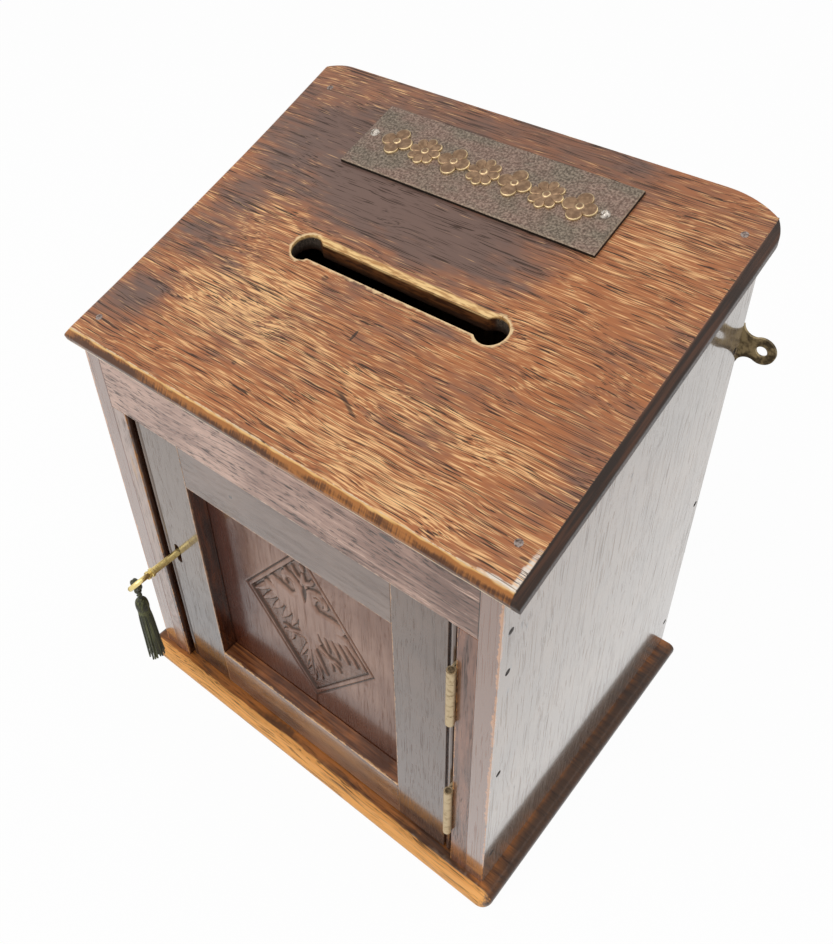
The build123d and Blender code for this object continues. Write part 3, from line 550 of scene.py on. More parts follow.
class LETTERBOX_OT_case(bpy.types.Operator):
    """Finish the case: sides, back, front rail, jambs, stop and base"""

    bl_idname = "letterbox.case"
    bl_label = "Case"

    def execute(self, context):
        ease = context.scene.box_oak.arris
        marks = [
            ((117.5, FRONT + place, level), (1.6, 1.3 * size, 2.4 * size), NAIL, 0.9, 0.2, 0.4)
            for place, level, size in (
                (5.5, 207, 1), (13.8, 203, 0.8), (17.7, 198.5, 0.7), (8.5, 182, 0.6),
                (8.1, 166.5, 0.8), (91, 221, 0.6), (22, 71, 0.7),
            )
        ]
        sides = oak(
            "side_oak", "Z", ((0.13, 0.068, 0.032), (0.25, 0.145, 0.075)),
            bare=-0.45, bare_tone=(0.40, 0.30, 0.19), pores=(0.10, 40, 0.6), streaks=(0.5, 1.0),
            planes=((117.5, -117.5), (FRONT,), ()), wear=1.1, wear_tone=(0.60, 0.25, 0.08),
            extra=front_strip, polish=0.16, ior=1.85, rings=(0.0, 5), sheen=0.3, patches=(
                # painted shadow under the lid's overhang, at the top of the right side
                ((117.5, 60, 240), (8, 60, 30), (0.12, 0.09, 0.06), 0.6, 0.3, 0.9),
                # painted shade along the foot of the right side, standing in for the dark
                # reflection of the base and its shadow
                ((117.5, 0, -4), (8, 190, 38), (0.05, 0.020, 0.012), 0.95, 0.2, 1.6), *marks,
            ),
        )
        for node in ("left_side", "right_side"):
            eased(node, "carcase", "case_wood", sides, ease, least=2.0)

        # Painted sheen: the rail is lighter towards the left, where its varnish reflects more
        # light.
        def painted_sheen_left(finish, place):
            return finish.spread(finish.split(place)[0], 60, -60, -0.10, 0.10)

        rail = oak(
            "rail_oak", "X", ((0.28, 0.14, 0.095), (0.62, 0.38, 0.285)), warm=painted_sheen_left,
            bare=-0.26, bare_tone=(0.80, 0.54, 0.42), pores=(0.95, 7.0, 0.55),
            rings=(0.7, 4.2), planes=((), (FRONT,), (199.8,)), wear=0.6, streaks=(0.9, 1.8),
            wear_tone=(0.70, 0.46, 0.32), ior=1.48, coat=0.6, extra=rail_joints, patches=(
                ((64, FRONT, 226), (4, 3, 1.4), NAIL, 0.8, 0.3, 0.5),
                ((-10, FRONT, 232), (5, 3, 1.2), NAIL, 0.8, 0.3, 0.5),
                # painted shade: the rail's right end is darker, where its varnish reflects less
                # light
                ((110, FRONT, 220), (30, 3, 30), (0.12, 0.045, 0.025), 0.6, 0.4, 1.0),
            ),
        )
        eased("front_rail", "carcase", "front_wood", rail, ease, least=2.0)
        jambs = oak(
            "jamb_oak", "Z", ((0.12, 0.042, 0.020), (0.27, 0.11, 0.060)),
            bare=-0.42, bare_tone=(0.44, 0.21, 0.12), pores=(0.7, 12, 0.42), rings=(0.3, 4.0),
            planes=((97.9, -97.9), (FRONT,), ()), wear=0.8, wear_tone=(0.60, 0.28, 0.10),
            ior=1.45, coat=0.6, patches=(
                ((-103, FRONT, 130), (7, 4, 110), (0.62, 0.49, 0.43), 0.7, 0.5, 0.8),
                ((-102.6, FRONT, 162), (1.3, 3, 9), (0.60, 0.38, 0.22), 0.8, 0.4, 0.4),
                ((-98.6, FRONT, 60), (1.6, 3, 45), (0.05, 0.02, 0.012), 0.8, 0.4, 0.4),
            ),
            # painted shade on the jambs' inner faces, in the gap beside the door
            extra=recess_shade_and_tone(FRONT, (0.03, 0.010, 0.005), (0.10, 0.034, 0.014)),
        )
        for node in ("left_jamb", "right_jamb"):
            eased(node, "carcase", "front_wood", jambs, ease, least=2.0)
        inside = oak(
            "inside_oak", "Z", ((0.05, 0.026, 0.013), (0.13, 0.07, 0.036)), bare=-0.6,
            polish=0.5, coat=0.1,
        )
        eased("back_board", "carcase", "case_wood", inside, ease, least=2.0)
        eased("door_stop", "carcase", "case_wood", inside, ease, least=2.0)
        piece = eased("base_board", "carcase", "case_wood", self.base(), 0.2, least=60.0)
        smooth(piece, 35)
        return {"FINISHED"}

    def base(self):
        """Golden where hands and cloths have rubbed the front, dark at the sides, with painted
        shade on the nose's lower round and a painted pinkish sheen towards the right.
        """
        low, high = (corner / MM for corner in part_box("base_board"))

        def bare(finish, place):
            x, y, z = finish.split(place)
            front = finish.spread(y, FRONT - 0.8, FRONT - 3.5, -0.85, 0.60)
            # painted shade: the nose's lower round is kept out of the bare gold, so it is darker
            # towards the bottom
            front = finish.plus(front, finish.spread(z, 3.5, 0.8, 0.0, -0.30))
            side = finish.spread(finish.math("ABSOLUTE", x), high.x - 5, high.x - 1.5, 0.0, 0.6)
            return finish.minus(front, side)

        return oak(
            "base_oak", "X", ((0.065, 0.020, 0.008), (0.46, 0.16, 0.035)), warm=0.04, bare=bare,
            bare_tone=(1.0, 0.48, 0.14), pores=(0.85, 26, 0.34), polish=0.36, hairs=(24, 0.4),
            coat=0.15, ior=1.42, rings=(0.75, 2.4), streaks=(0.9, 1.5), patches=(
                ((45, low.y, 4), (16, 8, 5), (0.03, 0.012, 0.006), 0.9, 0.5, 0.6),
                ((-20, low.y + 5, 9), (16, 5, 3), (0.06, 0.022, 0.008), 0.8, 0.6, 0.6),
                ((90, low.y + 5, 8), (24, 6, 4), (0.05, 0.02, 0.01), 0.8, 0.5, 0.6),
                # painted shade along the nose's lower round, in these two bands
                ((-70, low.y, 3), (30, 6, 2.6), (0.05, 0.018, 0.007), 0.8, 0.6, 0.8),
                ((5, low.y, 3), (34, 6, 2.0), (0.06, 0.022, 0.008), 0.8, 0.6, 0.8),
                ((20, low.y, 6), (70, 6, 9), (0.50, 0.24, 0.10), 0.45, 0.6, 0.9),
                # painted sheen: a pale pinkish patch on the nose towards the right
                ((100, low.y, 6), (34, 6, 5), (0.86, 0.62, 0.46), 0.6, 0.8, 0.9),
                ((high.x, 0, 5), (9, 110, 12), (0.030, 0.014, 0.008), 0.9, 0.2, 0.5),
                ((low.x, 0, 5), (9, 110, 12), (0.030, 0.014, 0.008), 0.9, 0.2, 0.5),
            ),
        )


# ------------------------------------------------------------------ lid
SLOT_BORES = 51.1
SLOT_BORE_RADIUS = 7.2
SLOT_WIDTH = 9.9
SLOT_UP = 89.55
SLOT_DEPTH = FRONT + SLOT_UP * math.cos(LID_SLOPE) - LID_THICKNESS * math.sin(LID_SLOPE)
CREAM = (0.84, 0.60, 0.33)
PLATE_X = -2.45
PLATE_UP = 160.85
PLATE_SCREWS = (-65.2, 62.1)    # from the plate's middle
PLATE_SCREW_RISE = 1
LID_NAILS = ((-112.8, 11.7), (113.1, 16.7), (114.3, 177.8), (-114.3, 181.3))
# middles across and up the lid, radii, how much more it is worn there, and how much warmer
LID_BLOBS = (
    ((-50, 50), (54, 30), 0.46, 0.04), ((55, 43), (85, 11), 0.34, 0.10),
    ((60, 14), (80, 22), 0.32, 0.20), ((-84, 96), (30, 18), 0.22, 0.05),
    ((-30, 8), (100, 16), 0.12, 0.20), ((88, 150), (44, 60), 0.10, 0.20),
    ((95, 75), (40, 60), 0.06, 0.14), ((-40, 150), (110, 60), -0.34, -0.34),
    ((-105, 60), (22, 130), -0.14, -0.14), ((0, 120), (90, 22), -0.24, -0.18),
    ((30, 196), (120, 14), -0.2, -0.06), ((0, 60), (60, 16), 0.06, 0.10),
)


def lid_field(column, start):
    """Sum the lid's blobs: column 2 is wear and 3 is warmth."""
    def field(finish, place):
        value = start
        for blob in LID_BLOBS:
            (x, up), (wide, tall) = blob[:2]
            reach = finish.vector("LENGTH", finish.scaled(
                finish.vector("SUBTRACT", place, (x, up, LID_THICKNESS)), wide, tall, 500))
            value = finish.plus(value, finish.spread(reach, 1.15, 0.2, 0.0, blob[column]))
        return value
    return field


def cathedral(finish, place):
    """The rings run out through the front edge, left of the middle."""
    x, up, _ = finish.split(place)
    return finish.times(finish.spread(x, -60, 30, 0.0, 11.0), finish.spread(up, 50, 4))


def lid_details(finish, place, colour):
    """Worn rims of the slot, its walls, which darken to painted shade deeper down, and the bevels.
    """
    x, up, out = finish.split(place)
    along, deep, _ = finish.split(finish.place())
    deep = finish.minus(deep, SLOT_DEPTH)
    past = finish.minus(finish.math("ABSOLUTE", along), SLOT_BORES)
    bore = finish.vector("LENGTH", finish.join(past, deep, 0.0))
    channel = finish.vector("LENGTH", finish.join(finish.math("MAXIMUM", past, 0.0), deep, 0.0))
    gap = finish.math("MINIMUM", finish.minus(bore, SLOT_BORE_RADIUS),
                      finish.minus(channel, SLOT_WIDTH / 2))
    chips = finish.times(finish.cells(place, 3.5, 3.5, 3.5), 3.2)
    fray = finish.plus(finish.math("ABSOLUTE", gap), chips)
    top = finish.spread(out, 6.9, 7.2)
    colour = finish.blend(finish.times(finish.spread(fray, 1.7, 0.4), top), colour, CREAM)
    near = finish.spread(gap, 6.0, 5.0)
    shelf = finish.times(finish.spread(out, 7.45, 7.2), near)
    streak = finish.spread(finish.cells(place, 9, 1.2, 1.2), -0.12, 0.1)
    lip = finish.blend(streak, (0.52, 0.26, 0.085), (0.92, 0.62, 0.27))
    colour = finish.blend(shelf, colour, lip)
    wall = finish.times(finish.spread(out, 6.6, 5.6), near)
    inner = finish.blend(streak, (0.045, 0.015, 0.006), (0.15, 0.055, 0.018))
    pits = finish.spread(finish.cells(place, 0.9, 0.9, 0.9), -0.1, 0.16)
    bored = finish.blend(pits, (0.045, 0.035, 0.028), (0.11, 0.085, 0.065))
    inner = finish.blend(finish.spread(past, -3.5, -1.5), inner, bored)
    # painted shade: the slot's walls go near black deeper in
    inner = finish.blend(finish.spread(out, 4.0, 0.5), inner, (0.02, 0.010, 0.006))
    colour = finish.blend(wall, colour, inner)
    ticks = finish.cells(place, 0.7, 9, 9, detail=1.0)
    scorch = finish.total(
        finish.cells(place, 24, 5, 5, detail=3.0), finish.times(ticks, 0.35),
        finish.spread(x, -110, 60, -0.06, 0.06), finish.spread(out, 6.6, 4.6, 0.10, -0.08),
    )
    scorch = finish.spread(scorch, -0.16, 0.12)
    front = finish.blend(scorch, (0.09, 0.030, 0.009), (0.46, 0.175, 0.042))
    rim = finish.plus(out, finish.times(finish.cells(place, 14, 3, 3), 2.2))
    front = finish.blend(finish.spread(rim, 6.5, 7.1), front, (0.92, 0.56, 0.21))
    front = finish.blend(finish.spread(rim, 1.7, 0.9), front, (0.88, 0.72, 0.52))
    colour = finish.blend(finish.spread(up, 0.75, 0.35), colour, front)
    side = finish.spread(x, 122.0, 122.5)
    shade = finish.blend(finish.spread(finish.cells(place, 2, 40, 2), -0.1, 0.2),
                         (0.016, 0.008, 0.006), (0.075, 0.030, 0.016))
    return finish.blend(side, colour, shade)


class LETTERBOX_OT_lid(bpy.types.Operator):
    """Finish the worn sloping lid"""

    bl_idname = "letterbox.lid"
    bl_label = "Lid"

    def execute(self, context):
        lid = oak(
            "lid_oak", "X", ((0.165, 0.099, 0.079), (0.43, 0.150, 0.054)), warm=lid_field(3, 0.08),
            bare=lid_field(2, -0.22), bare_tone=(0.94, 0.56, 0.26), hairs=(14, 0.55),
            pores=(0.95, 26, 0.48), rings=(0.85, 2.9), bend=cathedral, polish=0.34, coat=0.15,
            ior=1.42, planes=((), (0.7, 199.3), (7.5,)), wear=0.32, streaks=(0.5, 2.6),
            reach=(-0.16, 0.56), wear_tone=(0.78, 0.56, 0.34), extra=lid_details, sloped=True,
            patches=(
                ((-60, 184, 7.5), (150, 34, 60), (0.14, 0.070, 0.050), 0.4, 0.4, 1.0),
                ((1.6, 60, 7.5), (0.7, 3.2, 3), NAIL, 0.9, 0.2, 0.5),
                ((-31, 79, 7.5), (1.8, 1.4, 3), NAIL, 0.6, 0.3, 0.5),
                ((-36, 24, 7.5), (1.3, 1.0, 3), NAIL, 0.7, 0.3, 0.5),
                ((119, 12.4, 7.5), (3.0, 0.9, 3), NAIL, 0.7, 0.3, 0.4),
                ((122, 6, 6.5), (2.2, 13, 6), (0.92, 0.84, 0.74), 0.85, 0.6, 0.5),
                ((117, 0.9, 6.5), (9, 1.5, 6), (0.92, 0.84, 0.74), 0.85, 0.6, 0.5),
            ),
        )
        eased("lid", "carcase", "top_wood", lid, 0.5, segments=3, least=0.7,
              keep=lambda at: not near_lid_nail(at))
        return {"FINISHED"}


def near_lid_nail(at):
    """Whether a point lies on a nail's or a plate screw's hole in the lid."""
    local = Matrix.Rotation(-LID_SLOPE, 3, "X") @ (at - Vector((0, FRONT, LID_FOOT)))
    places = LID_NAILS + tuple(
        (PLATE_X + across, PLATE_UP + PLATE_SCREW_RISE) for across in PLATE_SCREWS
    )
    return any(math.hypot(local.x - x, local.y - up) < 3.0 for x, up in places)


class LETTERBOX_OT_door(bpy.types.Operator):
    """Finish the door's stiles and rails"""

    bl_idname = "letterbox.door"
    bl_label = "Door frame"

    def execute(self, context):
        ease = context.scene.box_oak.arris
        face = FRONT + 2.5
        stiles = oak(
            "stile_oak", "Z", ((0.085, 0.043, 0.025), (0.145, 0.080, 0.050)),
            bare=-0.75, bare_tone=(0.26, 0.14, 0.08), pores=(0.12, 16, 0.4),
            planes=((-65.0, 62.3), (face,), ()), wear=0.6, wear_tone=(0.50, 0.28, 0.15),
            polish=0.17, ior=1.54, coat=0.8, rings=(0.0, 4), streaks=(0.5, 1.0), patches=(
                # painted sheen: the upper left stile is paler and greyer, where its varnish
                # reflects the most light
                ((-80, face, 150), (30, 6, 100), (0.165, 0.112, 0.080), 0.8, 0.3, 1.0),
                # painted shade: the lower left stile is near black, standing in for a dark
                # reflection
                ((-80, face, 24), (30, 6, 60), (0.035, 0.012, 0.006), 0.95, 0.4, 1.2),
                # painted shade: the lower right stile is darker, where its varnish reflects less
                # light
                ((78, face, 10), (30, 6, 90), (0.09, 0.045, 0.030), 0.85, 0.3, 1.3),
            ),
            # painted shade on the stiles' faces in the recess round the panel
            extra=recess_shade_and_tone(face, (0.030, 0.007, 0.003), (0.14, 0.036, 0.010)),
        )
        for node in ("door_lock_stile", "door_hinge_stile"):
            eased(node, "door", "front_wood", stiles, ease, least=1.6)
        rails = {
            "door_top_rail": oak(
                "top_rail_oak", "X", ((0.130, 0.074, 0.050), (0.215, 0.135, 0.098)),
                bare=-0.7, bare_tone=(0.25, 0.14, 0.08), pores=(0.15, 14, 0.4),
                planes=((), (face,), (169.5,)), wear=0.6, wear_tone=(0.56, 0.32, 0.18),
                polish=0.17, ior=1.54, coat=0.8, rings=(0.0, 4), streaks=(0.5, 1.0),
                # painted shade on the top rail's faces in the recess above the panel
                extra=recess_shade_and_tone(face, (0.030, 0.008, 0.004), (0.075, 0.020, 0.008)),
                patches=(((-31.4, face, 184.6), (1.1, 3, 0.9), NAIL, 0.95, 0.2, 0.4),),
            ),
            "door_bottom_rail": oak(
                "bottom_rail_oak", "X", ((0.12, 0.052, 0.030), (0.31, 0.185, 0.120)),
                bare=-0.5, bare_tone=(0.42, 0.19, 0.08), pores=(0.3, 12, 0.4),
                planes=((), (face,), (36.9,)), wear=0.8, wear_tone=(0.72, 0.40, 0.17),
                polish=0.18, ior=1.50, coat=0.7, rings=(0.0, 4), streaks=(0.5, 1.0),
                extra=recess_shade_and_tone(face, (0.100, 0.030, 0.011), (0.50, 0.180, 0.055), run=(40, 2.0, 9)),
            ),
        }
        for node, wood in rails.items():
            eased(node, "door", "front_wood", wood, ease, least=1.6)
        return {"FINISHED"}


# ------------------------------------------------------------------ carving
def stroke_gap(x, z, points):
    """Distance from every (x, z) to a tapering stroke through (x, z, half width) points."""
    best = np.full(x.shape, 1e3)
    for (x0, z0, w0), (x1, z1, w1) in zip(points, points[1:]):
        run = max((x1 - x0) ** 2 + (z1 - z0) ** 2, 1e-9)
        t = np.clip(((x - x0) * (x1 - x0) + (z - z0) * (z1 - z0)) / run, 0, 1)
        gap = np.hypot(x - x0 - t * (x1 - x0), z - z0 - t * (z1 - z0)) - (w0 + t * (w1 - w0))
        best = np.minimum(best, gap)
    return best


def rounded(points, steps=6):
    """A smooth run through (x, z, half width) points."""
    points = [points[0], *points, points[-1]]
    run = []
    for a, b, c, d in zip(points, points[1:], points[2:], points[3:]):
        for step in range(steps):
            t = step / steps
            run.append(tuple(
                0.5 * (2 * q + (r - p) * t + (2 * p - 5 * q + 4 * r - s) * t * t
                       + (3 * q - p - 3 * r + s) * t ** 3)
                for p, q, r, s in zip(a, b, c, d)
            ))
    run.append(points[-1])
    return run


# strokes of the right half of the bird, from the middle of the lozenge
RAISED = [rounded(run) for run in (
    [(0, 22, 4.5), (2.5, 15, 8), (4, 5, 9.5), (1.5, -5, 6.5), (0, -15, 3.2)],
    [(4, 12, 7), (12, 14, 6.6), (19, 17, 5.0), (24, 19.5, 2.2)],
    [(10, 6, 6), (18, 9.5, 5.4), (26, 11.5, 3.2)],
    [(2.5, 23, 3.8), (5, 29, 3.6), (9.5, 32, 3.0), (13.2, 30, 2.1), (13.6, 26.5, 1.2),
     (11.6, 24.6, 0.5)],
    [(9, 33, 1.4), (13, 35.6, 1.0), (15.5, 34.6, 0.4)],
    [(0, 33, 2.6), (0, 38, 1.5), (0, 41, 1.0)],
    [(0, 44, 1.7), (0, 46, 1.5)],
    [(1.5, 35, 1.4), (5, 37.5, 1.3), (6.6, 40.8, 1.1)],
    [(9, 1, 2.3), (10.6, -4, 1.9), (12.6, -9.5, 0.7)],
    [(13.5, 2, 2.3), (16, -3, 2.0), (19.0, -8.6, 0.7)],
    [(18, 4, 2.3), (21.4, -1, 2.0), (25.4, -6.6, 0.7)],
    [(23, 7, 2.3), (27, 1.6, 2.0), (31.6, -4.0, 0.7)],
    [(26, 11, 2.4), (31.4, 5, 2.1), (37.2, -0.8, 0.7)],
    [(4, -10, 2.4), (9, -13, 2.2), (13.5, -15, 1.5)],
    [(13, -15, 1.3), (16.5, -13.6, 1.0), (19.6, -14.6, 0.4)],
    [(13, -15, 1.3), (17, -17, 1.1), (19.6, -20, 0.4)],
    [(12.6, -15.5, 1.3), (13.2, -19.5, 1.1), (14.4, -23.4, 0.4)],
    [(0, -14, 2.8), (0, -28, 2.2), (0, -45, 0.7)],
    [(1.4, -16, 2.0), (5.0, -25, 2.3), (9.4, -32, 0.6)],
    [(1.0, -24, 1.8), (3.6, -33, 1.9), (5.2, -40, 0.5)],
)]
INCISED = [rounded(run) for run in (
    [(0, 33.5, 0.2), (0.6, 27, 0.8), (0, 20, 0.0)],
    [(6.6, 29.5, 0.0), (8.8, 30.6, 0.35), (10.8, 29.6, 0.0)],
    [(11.0, 2, 0.2), (13.0, -4, 0.75), (15.6, -9.4, 0.3)],
    [(15.6, 4, 0.2), (18.4, -2, 0.75), (22.0, -8, 0.3)],
    [(20.4, 6, 0.2), (23.8, 0.4, 0.75), (28.2, -5.6, 0.3)],
    [(24.8, 8.6, 0.2), (28.8, 3.4, 0.75), (34.2, -3.2, 0.3)],
    [(6.6, 1, 0.1), (8.0, -4.4, 0.6), (9.6, -9, 0.2)],
    [(0, -18, 0.0), (0, -30, 0.45), (0, -41, 0.0)],
    [(2.6, -20, 0.0), (5.0, -26, 0.4), (7.8, -30.6, 0.0)],
    [(2.0, -28, 0.0), (3.6, -33, 0.35), (4.6, -37.5, 0.0)],
    [(6, -11.6, 0.0), (9.5, -13.6, 0.35), (12.5, -14.8, 0.0)],
)]
LEAN = 0.085                    # how much the lozenge's sides lean
LOZENGE = (43.6, 59.0)          # half its width and height


def carved_depth(x, z, depth):
    """Depth below the panel's face, and a mask of painted shade in the carving's lines, edges,
    cuts and sunk ground: ruled lozenge, sunk ground, bird.
    """
    half_width, half_height = LOZENGE
    z = z + LEAN * x
    slant = math.hypot(half_width, half_height)
    inside = 1 - np.abs(x) / half_width - np.abs(z) / half_height
    inside = inside * half_width * half_height / slant

    def step(value, low, high):
        t = np.clip((value - low) / (high - low), 0, 1)
        return t * t * (3 - 2 * t)

    line = step(np.abs(inside - 0.6), 0.7, 0.15)
    ground = step(inside, 3.0, 3.6)
    mirrored = np.abs(x)
    figure = np.full(x.shape, 1e3)
    for stroke in RAISED:
        figure = np.minimum(figure, stroke_gap(mirrored, z, stroke))
    cuts = np.zeros(x.shape)
    for stroke in INCISED:
        cuts = np.maximum(cuts, step(stroke_gap(mirrored, z, stroke), 0.45, -0.25))
    body = step(figure, 0.30, -0.35)
    swell = step(figure, -0.2, -2.6) * 0.30
    tooling = 0.10 * np.sin(x * 2.3 + 1.7 * np.sin(z * 0.9)) * np.sin(z * 1.9 + x)
    sunk = (1 - body) * (depth + tooling) + body * (0.30 - swell + cuts * 0.8)
    rim = step(np.abs(figure - 0.25), 0.75, 0.1) * ground + step(np.abs(inside - 3.5), 0.8, 0.1)
    # painted shade in the ruled lines, along the figure's edges, in the cuts and over the sunk
    # ground
    darkening = np.maximum.reduce(
        [line * 0.9, rim * 0.9, ground * body * cuts, ground * (1 - body) * 0.4]
    )
    return line * 0.75 + ground * sunk, np.clip(darkening, 0, 1)


class LETTERBOX_OT_panel(bpy.types.Operator):
    """Carve the door's panel"""

    bl_idname = "letterbox.panel"
    bl_label = "Carved panel"

    def execute(self, context):
        carving = context.scene.box_carving
        low, high = (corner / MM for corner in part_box("door_panel"))
        middle = (low + high) / 2
        across = np.arange(-44.5, 44.6, carving.cell) + middle.x
        up = np.arange(-58, 58.1, carving.cell) + middle.z
        xs = np.concatenate(([low.x], across, [high.x]))
        zs = np.concatenate(([low.z], up, [high.z]))
        piece = add("grid", "carved_panel", x_subdivisions=len(xs) - 1,
                    y_subdivisions=len(zs) - 1)
        co = np.empty(len(piece.data.vertices) * 3)
        piece.data.vertices.foreach_get("co", co)
        co = co.reshape(-1, 3)
        column = np.rint((co[:, 0] + 1) / 2 * (len(xs) - 1)).astype(int)
        row = np.rint((co[:, 1] + 1) / 2 * (len(zs) - 1)).astype(int)
        x, z = xs[column], zs[row]
        depth, hollow_shade_mask = carved_depth(x - middle.x, z - middle.z, carving.depth)
        face = np.stack([x, low.y + depth, z], 1) * MM
        piece.data.vertices.foreach_set("co", face.ravel())
        hollow_shade = piece.data.attributes.new("hollow_shade", "FLOAT", "POINT")
        hollow_shade.data.foreach_set("value", hollow_shade_mask)
        bpy.ops.object.mode_set(mode="EDIT")
        bpy.ops.mesh.select_all(action="SELECT")
        bpy.ops.mesh.region_to_loop()
        thick = (high.y - low.y) * MM
        bpy.ops.mesh.extrude_region_move(TRANSFORM_OT_translate={"value": (0, thick, 0)})
        bpy.ops.mesh.edge_face_add()
        bpy.ops.mesh.select_all(action="SELECT")
        bpy.ops.mesh.normals_make_consistent(inside=False)
        bpy.ops.object.mode_set(mode="OBJECT")
        smooth(piece, 50)

        def paint_hollow_shade(finish, place, colour):
            # painted shade in the carving's hollows
            mark = finish.node("ShaderNodeAttribute", attribute_name="hollow_shade").outputs["Fac"]
            amount = finish.spread(mark, 0.0, 1.0, 0.0, 0.85)
            return finish.blend(amount, colour, (0.030, 0.018, 0.012))

        # The panel's light middle tone is partly a painted reflection, as its coat is kept thin.
        panel = oak(
            "panel_oak", "Z", ((0.22, 0.100, 0.060), (0.36, 0.200, 0.138)), bare=-0.60,
            bare_tone=(0.42, 0.21, 0.12), pores=(0.25, 20, 0.4), polish=0.2, ior=1.42, coat=0.25,
            rings=(0.10, 4.2), streaks=(0.6, 1.0), extra=paint_hollow_shade, patches=(
                # painted shade down the panel's left side, beside the recess wall
                ((-64, low.y, 100), (26, 9, 90), (0.075, 0.015, 0.006), 0.95, 0.25, 1.0),
                # painted shade along the bottom of the panel, above the bottom rail
                ((-10, low.y, 34), (90, 9, 36), (0.090, 0.022, 0.009), 0.9, 0.25, 1.1),
            ),
        )
        give(piece, panel)
        stand_in(piece, "door", "carved_wood", "door_panel")
        return {"FINISHED"}


# ------------------------------------------------------------------ name plate
def lid_frame(x, up, out):
    """The matrix that stands a piece on the lid, its +Z out of the wood."""
    foot = Matrix.Translation((0, FRONT * MM, LID_FOOT * MM))
    slope = Matrix.Rotation(LID_SLOPE, 4, "X")
    return foot @ slope @ Matrix.Translation((x * MM, up * MM, out * MM))


class LETTERBOX_OT_name_plate(bpy.types.Operator):
    """Finish the plate on the lid and raise its ornament"""

    bl_idname = "letterbox.name_plate"
    bl_label = "Name plate"

    def execute(self, context):
        finish = Finish("plate_bronze", 0.5, 0.85)
        place = finish.lid_place()
        pebble = finish.cells(place, 1.1, 1.1, 1.1, detail=3.0)
        grain = finish.spread(pebble, -0.16, 0.20)
        x, up, out = finish.split(finish.vector("SUBTRACT", place, (PLATE_X, PLATE_UP, 0)))
        rim = finish.math("MAXIMUM",
                          finish.minus(finish.math("ABSOLUTE", x), 70.0),
                          finish.minus(finish.math("ABSOLUTE", up), 20.5))
        edge = finish.spread(rim, -0.9, -0.3)
        area = finish.spread(finish.cells(place, 26, 14, 26, detail=3.0), -0.12, 0.15)
        low = finish.blend(area, (0.105, 0.082, 0.062), (0.14, 0.088, 0.068))
        high = finish.blend(area, (0.29, 0.235, 0.18), (0.34, 0.24, 0.19))
        ground = finish.blend(grain, low, high)
        # painted shadow: the plate's edge faces are near black
        wall = finish.spread(rim, -0.12, 0.0)
        ground = finish.blend(finish.times(edge, 0.35), ground, (0.42, 0.33, 0.24))
        finish.colour(finish.blend(wall, ground, (0.035, 0.028, 0.022)))
        finish.bump(pebble, 0.9, 0.6)
        dress("name_plate", finish.material)
        pitch, size = 16.8, 8.4
        flowers = [self.rosette(index * pitch, size, (8, 4)[index % 2]) for index in range(-3, 4)]
        relief = joined("plate_relief", flowers,
                        lid_frame(PLATE_X, PLATE_UP, 2.1 + LID_THICKNESS))
        smooth(relief, 50)
        give(relief, self.relief_brass())
        stand_in(relief, "carcase", "plate_metal")
        return {"FINISHED"}

    def rosette(self, x, size, petals):
        """A raised flower; its rings go from the foot to the middle."""
        rings = ((1.0, 0.0), (1.0, 0.75), (0.97, 1.0), (0.91, 1.1), (0.7, 1.1), (0.5, 1.0),
                 (0.36, 0.75), (0.30, 0.75), (0.25, 1.1), (0.12, 1.3), (0.001, 1.35))
        flower = add("grid", "plate_flower", x_subdivisions=96, y_subdivisions=len(rings) - 1)
        worn = flower.data.attributes.new("worn", "FLOAT", "POINT")
        for point in flower.data.vertices:
            share, height = rings[round((point.co.y + 1) / 2 * (len(rings) - 1))]
            turn = (point.co.x + 1) * math.pi
            lobe = abs(math.cos(petals * turn / 2))
            if petals == 8:
                outline = size * (0.72 + 0.28 * lobe ** 0.6)
            else:
                outline = size * (0.55 + 0.45 * lobe ** 0.7)
            if share < 0.4:
                outline = size * 0.8
            elif height > 0.9:
                height -= 0.35 * max(0.0, 1.0 - lobe * 4.0)
            point.co = ((x + share * outline * math.cos(turn)) * MM,
                        share * outline * math.sin(turn) * MM, height * MM)
            worn.data[point.index].value = 1.0 if share > 0.93 or share == 0.25 else 0.0
        bpy.ops.object.mode_set(mode="EDIT")
        bpy.ops.mesh.select_all(action="SELECT")
        bpy.ops.mesh.remove_doubles(threshold=2e-5)
        bpy.ops.mesh.normals_make_consistent(inside=False)
        bpy.ops.object.mode_set(mode="OBJECT")
        return flower

    def relief_brass(self):
        """Brown on its flat tops, rubbed bright along its edges."""
        finish = Finish("relief_brass", 0.38, 0.9)
        edges = finish.node("ShaderNodeAttribute", attribute_name="worn").outputs["Fac"]
        chips = finish.plus(edges, finish.cells(finish.place(), 1.6, 1.6, 1.6))
        mottle = finish.spread(finish.cells(finish.place(), 3, 3, 3), -0.15, 0.2)
        flat = finish.blend(mottle, (0.19, 0.115, 0.068), (0.33, 0.21, 0.125))
        finish.colour(finish.blend(finish.spread(chips, 0.45, 1.0), flat, (0.68, 0.52, 0.29)))
        finish.bump(finish.cells(finish.place(), 0.8, 0.8, 0.8), 0.3, 0.15)
        return finish.material


